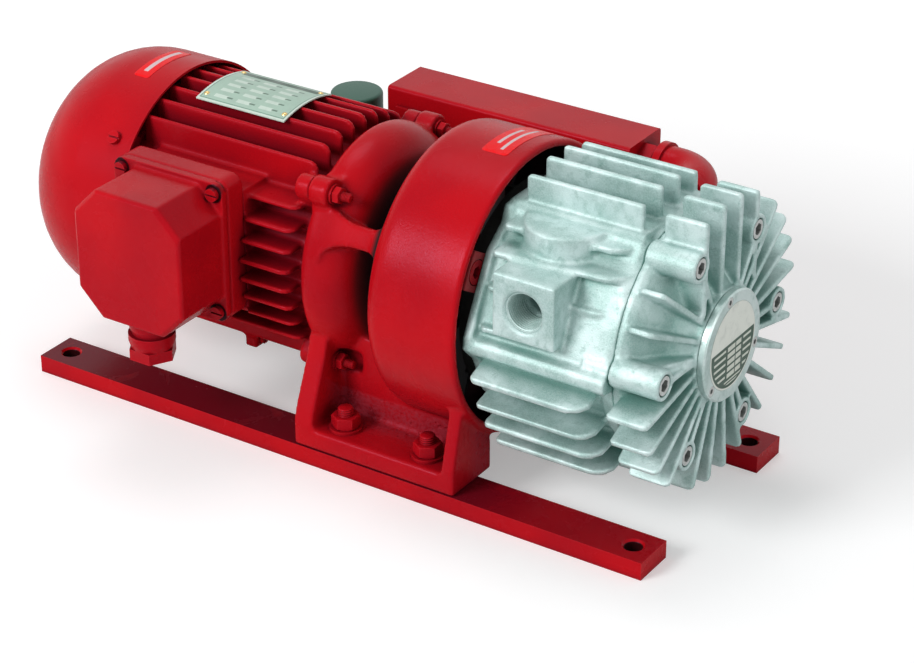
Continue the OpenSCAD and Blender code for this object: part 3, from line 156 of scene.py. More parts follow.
def plus(a, b):
    """The sum of two values."""
    return maths("ADD", a, b)


def minus(a, b):
    """The first value less the second."""
    return maths("SUBTRACT", a, b)


def times(a, b):
    """The product of two values; of two masks, the part where both are on."""
    return maths("MULTIPLY", a, b)


def hypotenuse(a, b):
    """The root of a squared plus b squared."""
    return maths("SQRT", plus(times(a, a), times(b, b)))


def ramp(value, low, high, low_out=0.0, high_out=1.0):
    """A smooth step from low_out to high_out while the value goes from low to high."""
    return add(value.id_data, "ShaderNodeMapRange", {"Value": value, "From Min": low,
        "From Max": high, "To Min": low_out, "To Max": high_out},
        interpolation_type="SMOOTHSTEP").outputs["Result"]


def noise(place, scale, **more):
    """A noise over a place; more sets its other sockets by their names."""
    return add(place.id_data, "ShaderNodeTexNoise", {"Vector": place, "Scale": scale,
        **more}).outputs[0]


def tint(colour, other, mask, share=None):
    """A colour turned into another one by a mask, or by a share of the mask."""
    factor = mask if share is None else times(mask, share)
    return add(mask.id_data, "ShaderNodeMix", {0: factor, 6: colour, 7: other},
        data_type="RGBA").outputs[2]


def object_point(tree):
    """Where a point of the surface lies, in its object's own coordinates."""
    return add(tree, "ShaderNodeTexCoord").outputs["Object"]


def new_group(name, takes, gives):
    """A shader group with the inputs and outputs named, all of them plain numbers."""
    tree = bpy.data.node_groups.new(name, "ShaderNodeTree")
    for way, labels in (("INPUT", takes), ("OUTPUT", gives)):
        for label in labels:
            tree.interface.new_socket(label, in_out=way, socket_type="NodeSocketFloat")
    inside = tree.nodes.new("NodeGroupInput").outputs
    outside = tree.nodes.new("NodeGroupOutput").inputs
    return tree, inside, outside


def use(tree, group, **values):
    """Places a group in a drawing with its own values, and gives back its outputs."""
    node = tree.nodes.new("ShaderNodeGroup")
    node.node_tree = group
    for name, value in values.items():
        feed(node.inputs[name.replace("_", " ")], value)
    return node.outputs


# %% [markdown]
# ## A window between two limits
#
# A printed field, a pale strip and a dark pocket each have two limits. A mask
# that is one between them and falls off fast outside can draw them all, and two
# such masks, multiplied, make a rectangle. A picture could do the same, but it
# would have to be wrapped on, and it blurs from near.

# %% Window mask
SHARP = 0.2 * MM


def make_window():
    """Mask is one between low and high, and falls to nought over the soft width outside."""
    tree, inside, outside = new_group("window", ["Value", "Low", "High", "Soft"], ["Mask"])
    rise = minus(inside["Value"], inside["Low"])
    fall = minus(inside["High"], inside["Value"])
    sides = [maths("ADD", maths("DIVIDE", side, inside["Soft"]), 1.0, clamp=True)
        for side in (rise, fall)]
    feed(outside["Mask"], times(*sides))
    return tree


window_group = make_window()


def window(value, low, high, soft=SHARP):
    """The mask of a value between two limits, as an output socket."""
    return use(value.id_data, window_group, Value=value, Low=low, High=high, Soft=soft)[0]


def panel(a, b, a_range, b_range):
    """The rectangle where two values both lie between their limits."""
    return times(window(a, *a_range), window(b, *b_range))


print("group:", window_group.name)

# %% [markdown]
# ## Where a point lies about the shaft
#
# Most of the machine is round about one shaft. A group that turns a point into
# its place along the shaft and its distance from it lets paint stop inside the
# drum, or a turned mark run round a face, with no picture wrapped on anything.

# %% Shaft coordinates


def make_shaft_place():
    """Along is x, Side is y, Height is z less the shaft's height, and Radius is the root of
    Side squared plus Height squared."""
    tree, _, outside = new_group("shaft_place", [], ["Along", "Radius", "Height", "Side"])
    x, y, z = add(tree, "ShaderNodeSeparateXYZ", {0: object_point(tree)}).outputs
    up = minus(z, AXIS_Z)
    found = {"Along": x, "Radius": hypotenuse(y, up), "Height": up, "Side": y}
    for label, value in found.items():
        feed(outside[label], value)
    return tree


shaft_place = make_shaft_place()
print("group:", shaft_place.name)

# %% [markdown]
# ## Sand-cast skin
#
# A casting keeps the print of the sand it was poured in: a fine grain all over
# and slow swells under it. Two noises of different size, added with different
# weights, give that height, and a Bump node in each material turns it into
# light and shade.

# %% Cast grain
SWELLS_A_METRE = 62.0
PIT_CELLS_A_GRAIN = 0.45
PIT_SIZE = (0.12, 0.32)


def make_cast_grain():
    """Height is swell times a slow noise, plus grain times a fine noise, less rare pits."""
    tree, inside, outside = new_group("cast_grain", ["Grain Size", "Grain", "Swell", "Pits"],
        ["Height", "Speckle"])
    place = object_point(tree)
    fine_scale = maths("DIVIDE", 1.0, inside["Grain Size"])
    fine = noise(place, fine_scale, Detail=4.0, Roughness=0.62)
    slow = noise(place, SWELLS_A_METRE, Detail=3.0, Roughness=0.5)
    cells = add(tree, "ShaderNodeTexVoronoi", {"Vector": place,
        "Scale": times(fine_scale, PIT_CELLS_A_GRAIN)})
    pit = ramp(cells.outputs["Distance"], *PIT_SIZE, 1.0, 0.0)
    height = plus(times(fine, inside["Grain"]), times(slow, inside["Swell"]))
    height = minus(height, times(pit, inside["Pits"]))
    feed(outside["Height"], height)
    feed(outside["Speckle"], fine)
    return tree


cast_grain = make_cast_grain()
print("group:", cast_grain.name)

# %% [markdown]
# ## Edges and corners
#
# Paint is thin on outer edges, and the materials also paint a highlight there;
# inner corners get painted shade. The Bevel node looks at a rounded version of
# the surface: where its normal leaves the real one there is an edge. Ambient
# Occlusion then tells outer edges, which are open, from inner corners, which
# are shut in.

# %% Edge and corner masks
NORMALS_PART = (0.80, 0.985)
OPEN_SHARE = (0.25, 0.85)


def make_edge_finder():
    """Edge is on where the true and the rounded normal part and the place is open; Corner is
    the share that is shut in."""
    tree, inside, outside = new_group("edge_finder", ["Edge Width", "Corner Reach"],
        ["Edge", "Corner"])
    true_normal = add(tree, "ShaderNodeNewGeometry").outputs["Normal"]
    rounded = add(tree, "ShaderNodeBevel", {"Radius": inside["Edge Width"]}, samples=3)
    agreement = add(tree, "ShaderNodeVectorMath", {0: true_normal, 1: rounded.outputs[0]},
        operation="DOT_PRODUCT").outputs["Value"]
    bend = ramp(agreement, *NORMALS_PART, 1.0, 0.0)
    open_share = add(tree, "ShaderNodeAmbientOcclusion", {"Distance": inside["Corner Reach"]},
        samples=5).outputs["AO"]
    corner = ramp(open_share, *OPEN_SHARE, 1.0, 0.0)
    feed(outside["Edge"], times(bend, minus(1.0, corner)))
    feed(outside["Corner"], corner)
    return tree


edge_finder = make_edge_finder()
print("group:", edge_finder.name)

# %% [markdown]
# ## Slow colour drift
#
# No sprayed or cast surface has one even colour. A large soft noise moves the
# tone a little lighter and darker over some centimetres, and a second one
# leaves a faint film of dust and handling.

# %% Tone drift
FILM_FINER = 3.1
DRIFT_RANGE = (0.32, 0.68)
FILM_RANGE = (0.45, 0.75)


def make_tone_drift():
    """Drift is a soft noise stretched to run from nought to one; Film is a patchier one."""
    tree, inside, outside = new_group("tone_drift", ["Patch Size"], ["Drift", "Film"])
    place = object_point(tree)
    scale = maths("DIVIDE", 1.0, inside["Patch Size"])
    soft = noise(place, scale, Detail=2.0)
    patchy = noise(place, times(scale, FILM_FINER), Detail=5.0, Roughness=0.6, Distortion=0.4)
    feed(outside["Drift"], ramp(soft, *DRIFT_RANGE))
    feed(outside["Film"], ramp(patchy, *FILM_RANGE))
    return tree


tone_drift = make_tone_drift()
print("group:", tone_drift.name)

# %% [markdown]
# ## Starting and ending a material
#
# Each material ends in the same shader, the Principled BSDF. Constants go on
# its own sockets, and only what changes over the surface is wired: nearly
# always the colour, the roughness, and a height that bends the normal.

# %% Material helpers


def new_material(name, **constants):
    """A material with one Principled BSDF, and the constants set on its sockets."""
    material = bpy.data.materials.new(name)
    material.use_nodes = True
    tree = material.node_tree
    for label, value in constants.items():
        shader_of(tree).inputs[label.replace("_", " ")].default_value = value
    return material, tree


def shader_of(tree):
    """The Principled BSDF of a material's drawing."""
    return tree.nodes["Principled BSDF"]


def coat(tree, colour, rough, height, depth):
    """Feeds the shader a colour, a roughness and the normal of a height; depth is what a
    height of one stands for, in metres."""
    normal = add(tree, "ShaderNodeBump", {"Height": height, "Distance": depth}).outputs[0]
    for label, value in (("Base Color", colour), ("Roughness", rough), ("Normal", normal)):
        feed(shader_of(tree).inputs[label], value)


def rgb(r, g, b):
    """A colour with full alpha, in linear light."""
    return (r, g, b, 1.0)


# %% [markdown]
# ## Red machine enamel
#
# The motor, bell housing, silencer and base are sprayed with one glossy red.
# On castings the grain shows through it, on sheet steel only a faint orange
# peel does. Corners get painted shade, dark and dull, and outer edges are worn a
# little lighter, which is also a painted highlight. Two layers can be laid over
# it: painted shade on what looks up, and raw speckled metal in the feet with
# black painted shade inside the drum and the neck.

# %% Enamel
RED = rgb(0.50, 0.0042, 0.0085)
RED_DEEP = rgb(0.31, 0.003, 0.009)
RED_PAINTED_SHADE_AND_PITS = rgb(0.085, 0.002, 0.007)
RED_WORN_EDGE_AND_HIGHLIGHT = rgb(0.60, 0.030, 0.040)
RED_PATCH = 70 * MM


def enamel(name, grain_size, grain, swell, depth, reach=22 * MM, layer=None):
    """Gloss enamel: tone drift, edges lighter as worn paint and as a painted highlight,
    painted shade in corners, and the casting's grain under it. A layer is a function
    that changes the colour, the roughness and the height."""
    material, tree = new_material(name, Specular_IOR_Level=0.13, IOR=1.5,
        Specular_Tint=rgb(1.0, 0.45, 0.70))
    skin = use(tree, cast_grain, Grain_Size=grain_size, Grain=grain, Swell=swell, Pits=0.1)
    tone = use(tree, tone_drift, Patch_Size=RED_PATCH)
    edges = use(tree, edge_finder, Edge_Width=1.1 * MM, Corner_Reach=reach)
    colour = tint(RED, RED_DEEP, tone["Drift"], 0.55)
    # Painted shade: shut-in corners go dark red.
    colour = tint(colour, RED_PAINTED_SHADE_AND_PITS, edges["Corner"], 0.8)
    # Outer edges go lighter, as worn paint and as a painted highlight.
    colour = tint(colour, RED_WORN_EDGE_AND_HIGHLIGHT, edges["Edge"], 0.5)
    rough = plus(0.25, times(tone["Film"], 0.10))
    rough = plus(rough, times(edges["Corner"], 0.25))
    look = (colour, rough, skin["Height"])
    if layer:
        look = layer(tree, *look)
    coat(tree, *look, depth)
    return material


# %% Layer of painted shade on top faces
TOP_PAINTED_SHADE = rgb(0.115, 0.004, 0.011)
LOOKS_UP = (0.7, 0.9)
LESS_TOP_SHADE = (90 * MM, 170 * MM)


def painted_shade_on_top(tree, colour, rough, height):
    """Painted shade on the faces that look up, weaker towards the pump's end."""
    normal = add(tree, "ShaderNodeNewGeometry").outputs["Normal"]
    up = add(tree, "ShaderNodeSeparateXYZ", {0: normal}).outputs["Z"]
    patches = use(tree, tone_drift, Patch_Size=RED_PATCH)["Film"]
    # Painted shade: faces that look up are darkened in patches.
    film = times(ramp(up, *LOOKS_UP), ramp(patches, 0.2, 0.8, 0.92, 0.74))
    along = use(tree, shaft_place)["Along"]
    film = times(film, ramp(along, *LESS_TOP_SHADE, 1.0, 0.35))
    return tint(colour, TOP_PAINTED_SHADE, film), rough, height


# %% Layer of raw metal and painted shade inside
RED_ROUGH = rgb(0.33, 0.030, 0.048)
BLACK_PAINTED_SHADE_INSIDE = rgb(0.012, 0.011, 0.011)
FOOT_BELOW_SHAFT = (-30 * MM, -62 * MM)
FOOT_PAST_RADIUS = (93.5 * MM, 96 * MM)
FOOT_WITHIN_SIDE = (74 * MM, 58 * MM)
DRUM_INSIDE = ((30 * MM, 36 * MM), (87.8 * MM, 89.2 * MM))
NECK_INSIDE = ((2 * MM, 15 * MM), (60 * MM, 68 * MM))


def bare_inside(tree, colour, rough, height):
    """Raw speckled pockets in the feet, and black painted shade inside the drum and the neck."""
    place = use(tree, shaft_place)
    raw = use(tree, cast_grain, Grain_Size=2.2 * MM, Grain=0.9, Swell=0.6, Pits=0.9)
    outward = maths("ABSOLUTE", place["Side"])
    foot = times(ramp(place["Height"], *FOOT_BELOW_SHAFT), ramp(place["Radius"], *FOOT_PAST_RADIUS))
    foot = times(foot, ramp(outward, *FOOT_WITHIN_SIDE))
    spots = times(foot, ramp(raw["Speckle"], 0.30, 0.62))
    colour = tint(colour, RED_ROUGH, spots, 0.6)
    pits = times(foot, ramp(raw["Speckle"], 0.36, 0.28))
    colour = tint(colour, RED_PAINTED_SHADE_AND_PITS, pits, 0.7)
    rough = plus(rough, times(foot, 0.12))
    height = plus(height, times(foot, times(raw["Height"], 1.4)))
    # Painted shade: black inside the drum and the neck, where shadow falls.
    painted_shade_inside = maths("MAXIMUM", *[times(ramp(place["Along"], *past),
        ramp(place["Radius"], *within, 1.0, 0.0))
        for past, within in (DRUM_INSIDE, NECK_INSIDE)])
    rough = plus(rough, times(painted_shade_inside, 0.35))
    return tint(colour, BLACK_PAINTED_SHADE_INSIDE, painted_shade_inside), rough, height


# %% Enamels in use
screw_red = enamel("red_enamel_on_screws", 1.2 * MM, 0.3, 0.5, 0.10 * MM, layer=painted_shade_on_top)
cast_red = enamel("red_enamel_on_casting", 1.1 * MM, 0.45, 0.75, 0.22 * MM)
bell_red = enamel("red_enamel_on_bell", 1.2 * MM, 0.4, 0.8, 0.26 * MM, layer=bare_inside)
sheet_red = enamel("red_enamel_on_sheet", 2.2 * MM, 0.25, 0.7, 0.08 * MM)
bar_red = enamel("red_enamel_on_bar", 1.6 * MM, 0.4, 0.6, 0.12 * MM)
rail_red = enamel("red_enamel_on_rails", 1.8 * MM, 0.4, 0.6, 0.14 * MM, reach=6 * MM,
    layer=painted_shade_on_top)
print("enamels:", cast_red.name, bell_red.name, sheet_red.name, bar_red.name)

# %% [markdown]
# ## Blasted cast aluminium
#
# The pump is bare. Fresh from the blast cabinet it is pale and silky, with a
# fine tooth, and it carries a cool tint in cloudy patches. Its hollows and deep
# corners take the same cool tint, darker, as painted shade. The high edges, which
# are touched and knocked, are brighter and smoother, and the brightness is also a
# painted highlight.

# %% Aluminium
TOOTH = rgb(0.74, 0.86, 0.85)
BRIGHT_WORN_EDGE_AND_HIGHLIGHT = rgb(0.80, 0.90, 0.88)


def aluminium(name, base, shade, roughness, depth, grain_size):
    """Bare metal with a blasted tooth; shade is the colour of the painted shade in
    hollows and deep corners, and the cloudy patches lean towards it.
    """
    material, tree = new_material(name)
    skin = use(tree, cast_grain, Grain_Size=grain_size, Grain=0.75, Swell=0.5, Pits=0.35)
    tone = use(tree, tone_drift, Patch_Size=22 * MM)
    edges = use(tree, edge_finder, Edge_Width=1.1 * MM, Corner_Reach=16 * MM)
    cloudy = [0.38 * bright + 0.62 * dull for bright, dull in zip(base, shade)]
    colour = tint(base, cloudy, tone["Drift"], 0.8)
    colour = tint(colour, cloudy, tone["Film"], 0.85)
    colour = tint(colour, TOOTH, ramp(skin["Speckle"], 0.38, 0.62, 0.0, 0.28))
    # Painted shade: hollows and deep corners take the shade colour.
    colour = tint(colour, shade, edges["Corner"], 0.85)
    # Outer edges go brighter, as wear and as a painted highlight.
    colour = tint(colour, BRIGHT_WORN_EDGE_AND_HIGHLIGHT, edges["Edge"], 0.75)
    rough = plus(roughness, times(skin["Speckle"], 0.12))
    rough = minus(rough, times(edges["Edge"], 0.12))
    coat(tree, colour, rough, skin["Height"], depth)
    metal = minus(0.45, times(edges["Corner"], 0.35))
    feed(shader_of(tree).inputs["Metallic"], metal)
    return material


# The second colour of each is the painted shade of hollows, and the cloudy patches lean to it.
pump_silver = aluminium("blasted_aluminium", rgb(0.59, 0.73, 0.72), rgb(0.080, 0.26, 0.215),
    0.48, 0.26 * MM, 0.9 * MM)
cap_silver = aluminium("turned_aluminium", rgb(0.66, 0.78, 0.76), rgb(0.20, 0.38, 0.34),
    0.30, 0.04 * MM, 1.6 * MM)
print("aluminiums:", pump_silver.name, cap_silver.name)

# %% [markdown]
# ## Steel, rubber, copper and plastic
#
# The screws are zinc plated, so they are bright with a faint grey cloud.
# Inside the machine there are ground bearings, laminated cores, copper wire
# and moulded plastic. They are seldom seen, but a part that is taken apart has
# to look right too.

# %% Metals
METAL_PAINTED_SHADE = rgb(0.03, 0.03, 0.032)
GRAINS_A_METRE = 260.0


def plain_metal(name, base, other, roughness, spread, streak=False):
    """Metal whose tone goes between two colours; a streak runs along the shaft."""
    material, tree = new_material(name, Metallic=1.0)
    squeeze = add(tree, "ShaderNodeMapping", {"Vector": object_point(tree),
        "Scale": (1.0 if streak else GRAINS_A_METRE, GRAINS_A_METRE, GRAINS_A_METRE)})
    grain = noise(squeeze.outputs[0], 4.0 if streak else 1.0, Detail=4.0)
    edges = use(tree, edge_finder, Edge_Width=0.4 * MM, Corner_Reach=6 * MM)
    colour = tint(base, other, ramp(grain, 0.35, 0.65))
    # Painted shade: shut-in corners go darker.
    colour = tint(colour, METAL_PAINTED_SHADE, edges["Corner"], 0.6)
    coat(tree, colour, plus(roughness, times(grain, spread)), grain, 0.03 * MM)
    return material


zinc = plain_metal("zinc_plate", rgb(0.70, 0.73, 0.72), rgb(0.60, 0.62, 0.60), 0.34, 0.15)
ground_steel = plain_metal("ground_steel", rgb(0.58, 0.58, 0.59), rgb(0.47, 0.47, 0.48), 0.22,
    0.12, streak=True)
dark_iron = plain_metal("dark_iron", rgb(0.16, 0.155, 0.15), rgb(0.10, 0.10, 0.10), 0.45, 0.2)
laminated = plain_metal("laminated_steel", rgb(0.30, 0.30, 0.31), rgb(0.2, 0.2, 0.21), 0.4, 0.15)
copper_wire = plain_metal("varnished_copper", rgb(0.62, 0.27, 0.12), rgb(0.42, 0.16, 0.07),
    0.25, 0.15)
brass = plain_metal("brass", rgb(0.72, 0.52, 0.22), rgb(0.62, 0.44, 0.19), 0.24, 0.12)
print("metals:", zinc.name, ground_steel.name, dark_iron.name, brass.name)

# %% Plastic, rubber and plain paint


def soft_plastic(name, base, roughness, grain_size, depth):
    """Moulded plastic, rubber or thin paint: one dark colour, a fine grain, paler edges."""
    material, tree = new_material(name, IOR=1.47)
    skin = use(tree, cast_grain, Grain_Size=grain_size, Grain=0.8, Swell=0.2, Pits=0.0)
    edges = use(tree, edge_finder, Edge_Width=0.6 * MM, Corner_Reach=10 * MM)
    light = rgb(*(1.6 * part + 0.01 for part in base[:3]))
    colour = tint(base, light, edges["Edge"], 0.5)
    rough = plus(roughness, times(skin["Speckle"], 0.15))
    coat(tree, colour, rough, skin["Height"], depth)
    return material


black_plastic = soft_plastic("black_plastic", rgb(0.022, 0.022, 0.024), 0.42, 0.9 * MM, 0.08 * MM)
black_rubber = soft_plastic("black_rubber", rgb(0.016, 0.016, 0.016), 0.62, 0.7 * MM, 0.06 * MM)
carbon = soft_plastic("carbon_vane", rgb(0.035, 0.035, 0.038), 0.38, 0.6 * MM, 0.03 * MM)
green_grey = soft_plastic("green_grey_enamel", rgb(0.022, 0.100, 0.066), 0.34, 1.4 * MM, 0.06 * MM)
print("dark finishes:", black_plastic.name, carbon.name, green_grey.name)

# %% [markdown]
# ## The dark end of the pump
#
# Between the drum and the pump there is a plate that is black near the shaft.
# Its ears, which the red housing is screwed to, are red. The distance from the
# shaft, made ragged by the grain, is where the red begins, and the red's inner
# corners get painted shade.

# %% Side plate finish
PLATE_BLACK = rgb(0.013, 0.013, 0.012)
SPRAYED = rgb(0.30, 0.012, 0.016)
SPRAYED_PAINTED_SHADE = rgb(0.07, 0.004, 0.006)
SPRAY_FROM = (73.5 * MM, 75.5 * MM)


def half_painted():
    """Black near the shaft and red beyond a ragged radius about it."""
    material, tree = new_material("half_painted_plate", IOR=1.48)
    skin = use(tree, cast_grain, Grain_Size=1.4 * MM, Grain=0.7, Swell=0.4, Pits=0.2)
    edges = use(tree, edge_finder, Edge_Width=1 * MM, Corner_Reach=20 * MM)
    ragged = plus(use(tree, shaft_place)["Radius"], times(skin["Speckle"], 4 * MM))
    # Painted shade: shut-in corners of the red go darker.
    red = tint(SPRAYED, SPRAYED_PAINTED_SHADE, edges["Corner"], 0.6)
    colour = tint(PLATE_BLACK, red, ramp(ragged, *SPRAY_FROM))
    coat(tree, colour, ramp(skin["Speckle"], 0.2, 0.8, 0.45, 0.65), skin["Height"], 0.3 * MM)
    return material


plate_dark = half_painted()
print("side plate:", plate_dark.name)

# %% [markdown]
# ## Plates without words
#
# The motor's plate and the plate on the bearing cap are printed sheet metal.
# Here they carry no words: only the ground colours, a header band, a border
# and empty fields, as a plate has before it is filled in. Each field is a
# window in two directions, and rows come from one repeating saw wave.

# %% Printed sheet
PLATE_MINT = rgb(0.37, 0.52, 0.43)
PLATE_LIGHT = rgb(0.60, 0.71, 0.63)
PLATE_DARK = rgb(0.035, 0.085, 0.055)
PLATE_LINE = rgb(0.16, 0.29, 0.22)
PLATE_DUST = rgb(0.22, 0.27, 0.24)


def rows(value, start, pitch, share):
    """One inside each printed row: the saw wave of (value - start) / pitch under the share."""
    turns = maths("DIVIDE", minus(value, start), pitch)
    return ramp(maths("FRACT", turns), share, share + 0.06, 1.0, 0.0)


def printed_sheet(name, ground, paint):
    """A printed plate: paint takes the place about the shaft and the ground colour, and gives
    back the colour."""
    material, tree = new_material(name, Specular_IOR_Level=0.35, Coat_Weight=0.15,
        Coat_Roughness=0.2)
    tone = use(tree, tone_drift, Patch_Size=20 * MM)
    skin = use(tree, cast_grain, Grain_Size=0.5 * MM, Grain=0.5, Swell=0.3, Pits=0.0)
    colour = paint(use(tree, shaft_place), ground)
    colour = tint(colour, PLATE_DUST, tone["Film"], 0.22)
    coat(tree, colour, ramp(tone["Drift"], 0.0, 1.0, 0.36, 0.5), skin["Height"], 0.02 * MM)
    return material


# %% The motor's plate
BORDER = 1.6 * MM
MARGIN = 2.4 * MM
FIELD_ROW = 7.2 * MM
FIELD_COLUMN = 17.5 * MM


def paint_nameplate(place, ground):
    """Border line, dark header at the far edge, and short empty fields in rows."""
    (left, near, _), (right, far, _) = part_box("nameplate")
    x = place["Along"]
    y = place["Side"]
    colour = PLATE_LIGHT
    for inset, inner in ((BORDER, PLATE_LINE), (MARGIN, ground)):
        sheet = panel(x, y, (left + inset, right - inset), (near + inset, far - inset))
        colour = tint(colour, inner, sheet)
    header = panel(x, y, (left + 6 * MM, right - 4 * MM), (far - 10.5 * MM, far - 4.5 * MM))
    colour = tint(colour, PLATE_DARK, header)
    area = panel(x, y, (left + 9 * MM, right - 8 * MM), (near + 4 * MM, far - 14 * MM))
    fields = times(rows(y, near + 5 * MM, FIELD_ROW, 0.42),
        rows(x, left + 10 * MM, FIELD_COLUMN, 0.55))
    colour = tint(colour, PLATE_LIGHT, times(fields, area), 0.8)
    marks = times(rows(y, near + 6.2 * MM, FIELD_ROW, 0.16),
        rows(x, left + 19.5 * MM, FIELD_COLUMN, 0.22))
    return tint(colour, PLATE_DARK, times(marks, area), 0.75)


nameplate_finish = printed_sheet("printed_nameplate", PLATE_MINT, paint_nameplate)
print("motor's plate:", nameplate_finish.name)

# %% The cap's plate
CAP_GROUND = rgb(0.80, 0.84, 0.77)
CAP_PALE = rgb(0.66, 0.70, 0.62)
CAP_ROW = 4.4 * MM
CAP_DARK_R = 26.2 * MM
CAP_PRINT_R = 24.5 * MM
BOX_COLUMNS = ((-6 * MM, 3 * MM), (4.2 * MM, 10.5 * MM))
LINE_COLUMNS = ((-22.5 * MM, -8.5 * MM), (13 * MM, 22.5 * MM))


def paint_cap_plate(place, ground):
    """Pale above; below it a dark ground with empty boxes in two columns, thin lines on
    either side, and a small block of lines at the foot."""
    y = place["Side"]
    z = place["Height"]

    def in_columns(columns, start, share):
        """Rows cut to two columns."""
        either = maths("MAXIMUM", *[window(y, *column) for column in columns])
        return times(either, rows(z, start, CAP_ROW, share))

    dark = panel(z, place["Radius"], (-30 * MM, 3 * MM), (0.0, CAP_DARK_R))
    print_rows = maths("MAXIMUM", in_columns(BOX_COLUMNS, -24 * MM, 0.66),
        in_columns(LINE_COLUMNS, -22.8 * MM, 0.34))
    print_rows = times(print_rows, window(z, -19.6 * MM, 1.6 * MM))
    foot = times(panel(y, z, (-9 * MM, 12 * MM), (-24.2 * MM, -20.5 * MM)),
        rows(z, -24.4 * MM, 2.1 * MM, 0.45))
    pale = times(maths("MAXIMUM", print_rows, foot), window(place["Radius"], 0.0, CAP_PRINT_R))
    return tint(tint(ground, PLATE_DARK, dark), CAP_PALE, pale)


cap_plate_finish = printed_sheet("printed_cap_plate", CAP_GROUND, paint_cap_plate)
print("cap's plate:", cap_plate_finish.name)

# %% [markdown]
# ## Painted shade in pockets and holes
#
# The four screws of the terminal cover sit in pockets that light hardly reaches,
# and the fixing holes of the rails are in shade inside. The enamel is painted
# over with a dark round spot of painted shade at each of the four places, found
# from the screws' own box and from the record's bolt pattern; the pockets
# themselves are not cut.

# %% Spots at four places


def from_nearest_of_four(values, middle, half):
    """Distance from the nearest of four places set out evenly about a middle:
    the root of (|u - mu| - hu)^2 + (|v - mv| - hv)^2."""
    sides = [minus(maths("ABSOLUTE", minus(value, centre)), reach)
        for value, centre, reach in zip(values, middle, half)]
    return hypotenuse(*sides)


def overpaint(material, mask, colour):
    """Puts a colour over a finish where the mask is one."""
    target = shader_of(material.node_tree).inputs["Base Color"]
    below = target.links[0].from_socket
    feed(target, tint(below, colour, mask))


# %% Pockets of the terminal cover
SCREW_HEAD_R = 4 * MM
POCKET_R = 5.8 * MM
POCKET_SOFT = 0.6 * MM
POCKET_PAINTED_SHADE = rgb(0.02, 0.002, 0.003)
FLANGE_DEPTH = (8.5 * MM, -1 * MM)

cover_red = cast_red.copy()
cover_red.name = "red_enamel_with_pockets"
place = use(cover_red.node_tree, shaft_place)
(left, _, bottom), (right, _, top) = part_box("terminal_cover_screws")
distance = from_nearest_of_four((place["Along"], place["Height"]),
    ((left + right) / 2, (bottom + top) / 2 - AXIS_Z),
    ((right - left) / 2 - SCREW_HEAD_R, (top - bottom) / 2 - SCREW_HEAD_R))
cover_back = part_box("terminal_cover")[1][1]
near_flange = window(place["Side"], *[cover_back - depth for depth in FLANGE_DEPTH])
# The dark spot is painted shade in place of a cut pocket.
pocket = times(window(distance, 0.0, POCKET_R, POCKET_SOFT), near_flange)
overpaint(cover_red, pocket, POCKET_PAINTED_SHADE)
print("pockets on", cover_red.name)

# %% Fixing holes of the rails
HOLE_PAINTED_SHADE = rgb(0.030, 0.004, 0.005)
HOLE_RIM = 0.2 * MM

pattern = mounts["base_holes"]["dims"]
place = use(rail_red.node_tree, shaft_place)
distance = from_nearest_of_four((place["Along"], place["Side"]), (0.0, 0.0),
    (pattern["spacing_x_mm"] / 2 * MM, pattern["spacing_y_mm"] / 2 * MM))
# Painted shade inside the fixing holes.
hole = window(distance, 0.0, pattern["hole_r_mm"] * MM + HOLE_RIM)
overpaint(rail_red, hole, HOLE_PAINTED_SHADE)
print("holes on", rail_red.name)

# %% [markdown]
# ## Who wears what
#
# One table gives every node of the frame its finish. The material slots of the
# CAD mesh are emptied and refilled, and the mesh itself is left alone.

# %% Finishes by node
FINISHES = {
    cast_red: "stator_housing motor_end_shield terminal_box discharge_elbow filter_elbow "
        "cable_gland terminal_gasket",
    cover_red: "terminal_cover",
    screw_red: "terminal_cover_screws",
    nameplate_finish: "nameplate",
    cap_plate_finish: "cap_plate",
    bell_red: "bell_housing",
    sheet_red: "fan_cowl silencer_box silencer_bracket",
    rail_red: "front_rail rear_rail",
    bar_red: "foot_studs foot_nuts foot_washers flange_studs flange_nuts flange_washers "
        "cowl_screws bracket_screws silencer_nipples side_plate_screws earth_screw",
    pump_silver: "pump_cylinder end_cover rotor_core",
    cap_silver: "bearing_cap",
    zinc: "cover_screws bearing_cap_screws",
    ground_steel: "motor_shaft pump_shaft motor_bearing_inner_rings motor_bearing_outer_rings "
        "motor_bearing_balls pump_bearing_inner_rings pump_bearing_outer_rings "
        "pump_bearing_balls",
    dark_iron: "pump_rotor motor_coupling_hub pump_coupling_hub",
    laminated: "stator_core",
    copper_wire: "stator_windings",
    brass: "terminal_studs nameplate_rivets",
    black_plastic: "terminal_block motor_fan cooling_fan",
    black_rubber: "shaft_seal coupling_spider",
    carbon: "vane_1 vane_2 vane_3 vane_4",
    green_grey: "exhaust_filter",
    plate_dark: "rear_side_plate",
}


def wear(thing, material):
    """Gives an object one material in place of all its own."""
    thing.data.materials.clear()
    thing.data.materials.append(material)


for material, names in FINISHES.items():
    for name in names.split():
        wear(nodes[name], material)
undressed = set(nodes) - set(" ".join(FINISHES.values()).split())
print("nodes without a finish:", sorted(undressed))

# %% [markdown]
# ## Cast edges and round shading
#
# A CAD solid has knife edges. A casting has none, because sand crumbles and
# metal draws in. A voxel remesh rebuilds the skin as one even net, and a few
# passes of smoothing then round each edge and fill each corner by about the
# size of a voxel. Machined and folded parts keep their own mesh: it is only
# welded, given a narrow bevel, and shaded smooth where the angle is small.

# %% Modifiers
WELD_REACH = 0.004 * MM
FLAT_BELOW = math.radians(1)
SMOOTH_BELOW = math.radians(32)
BEVEL_ABOVE = math.radians(38)


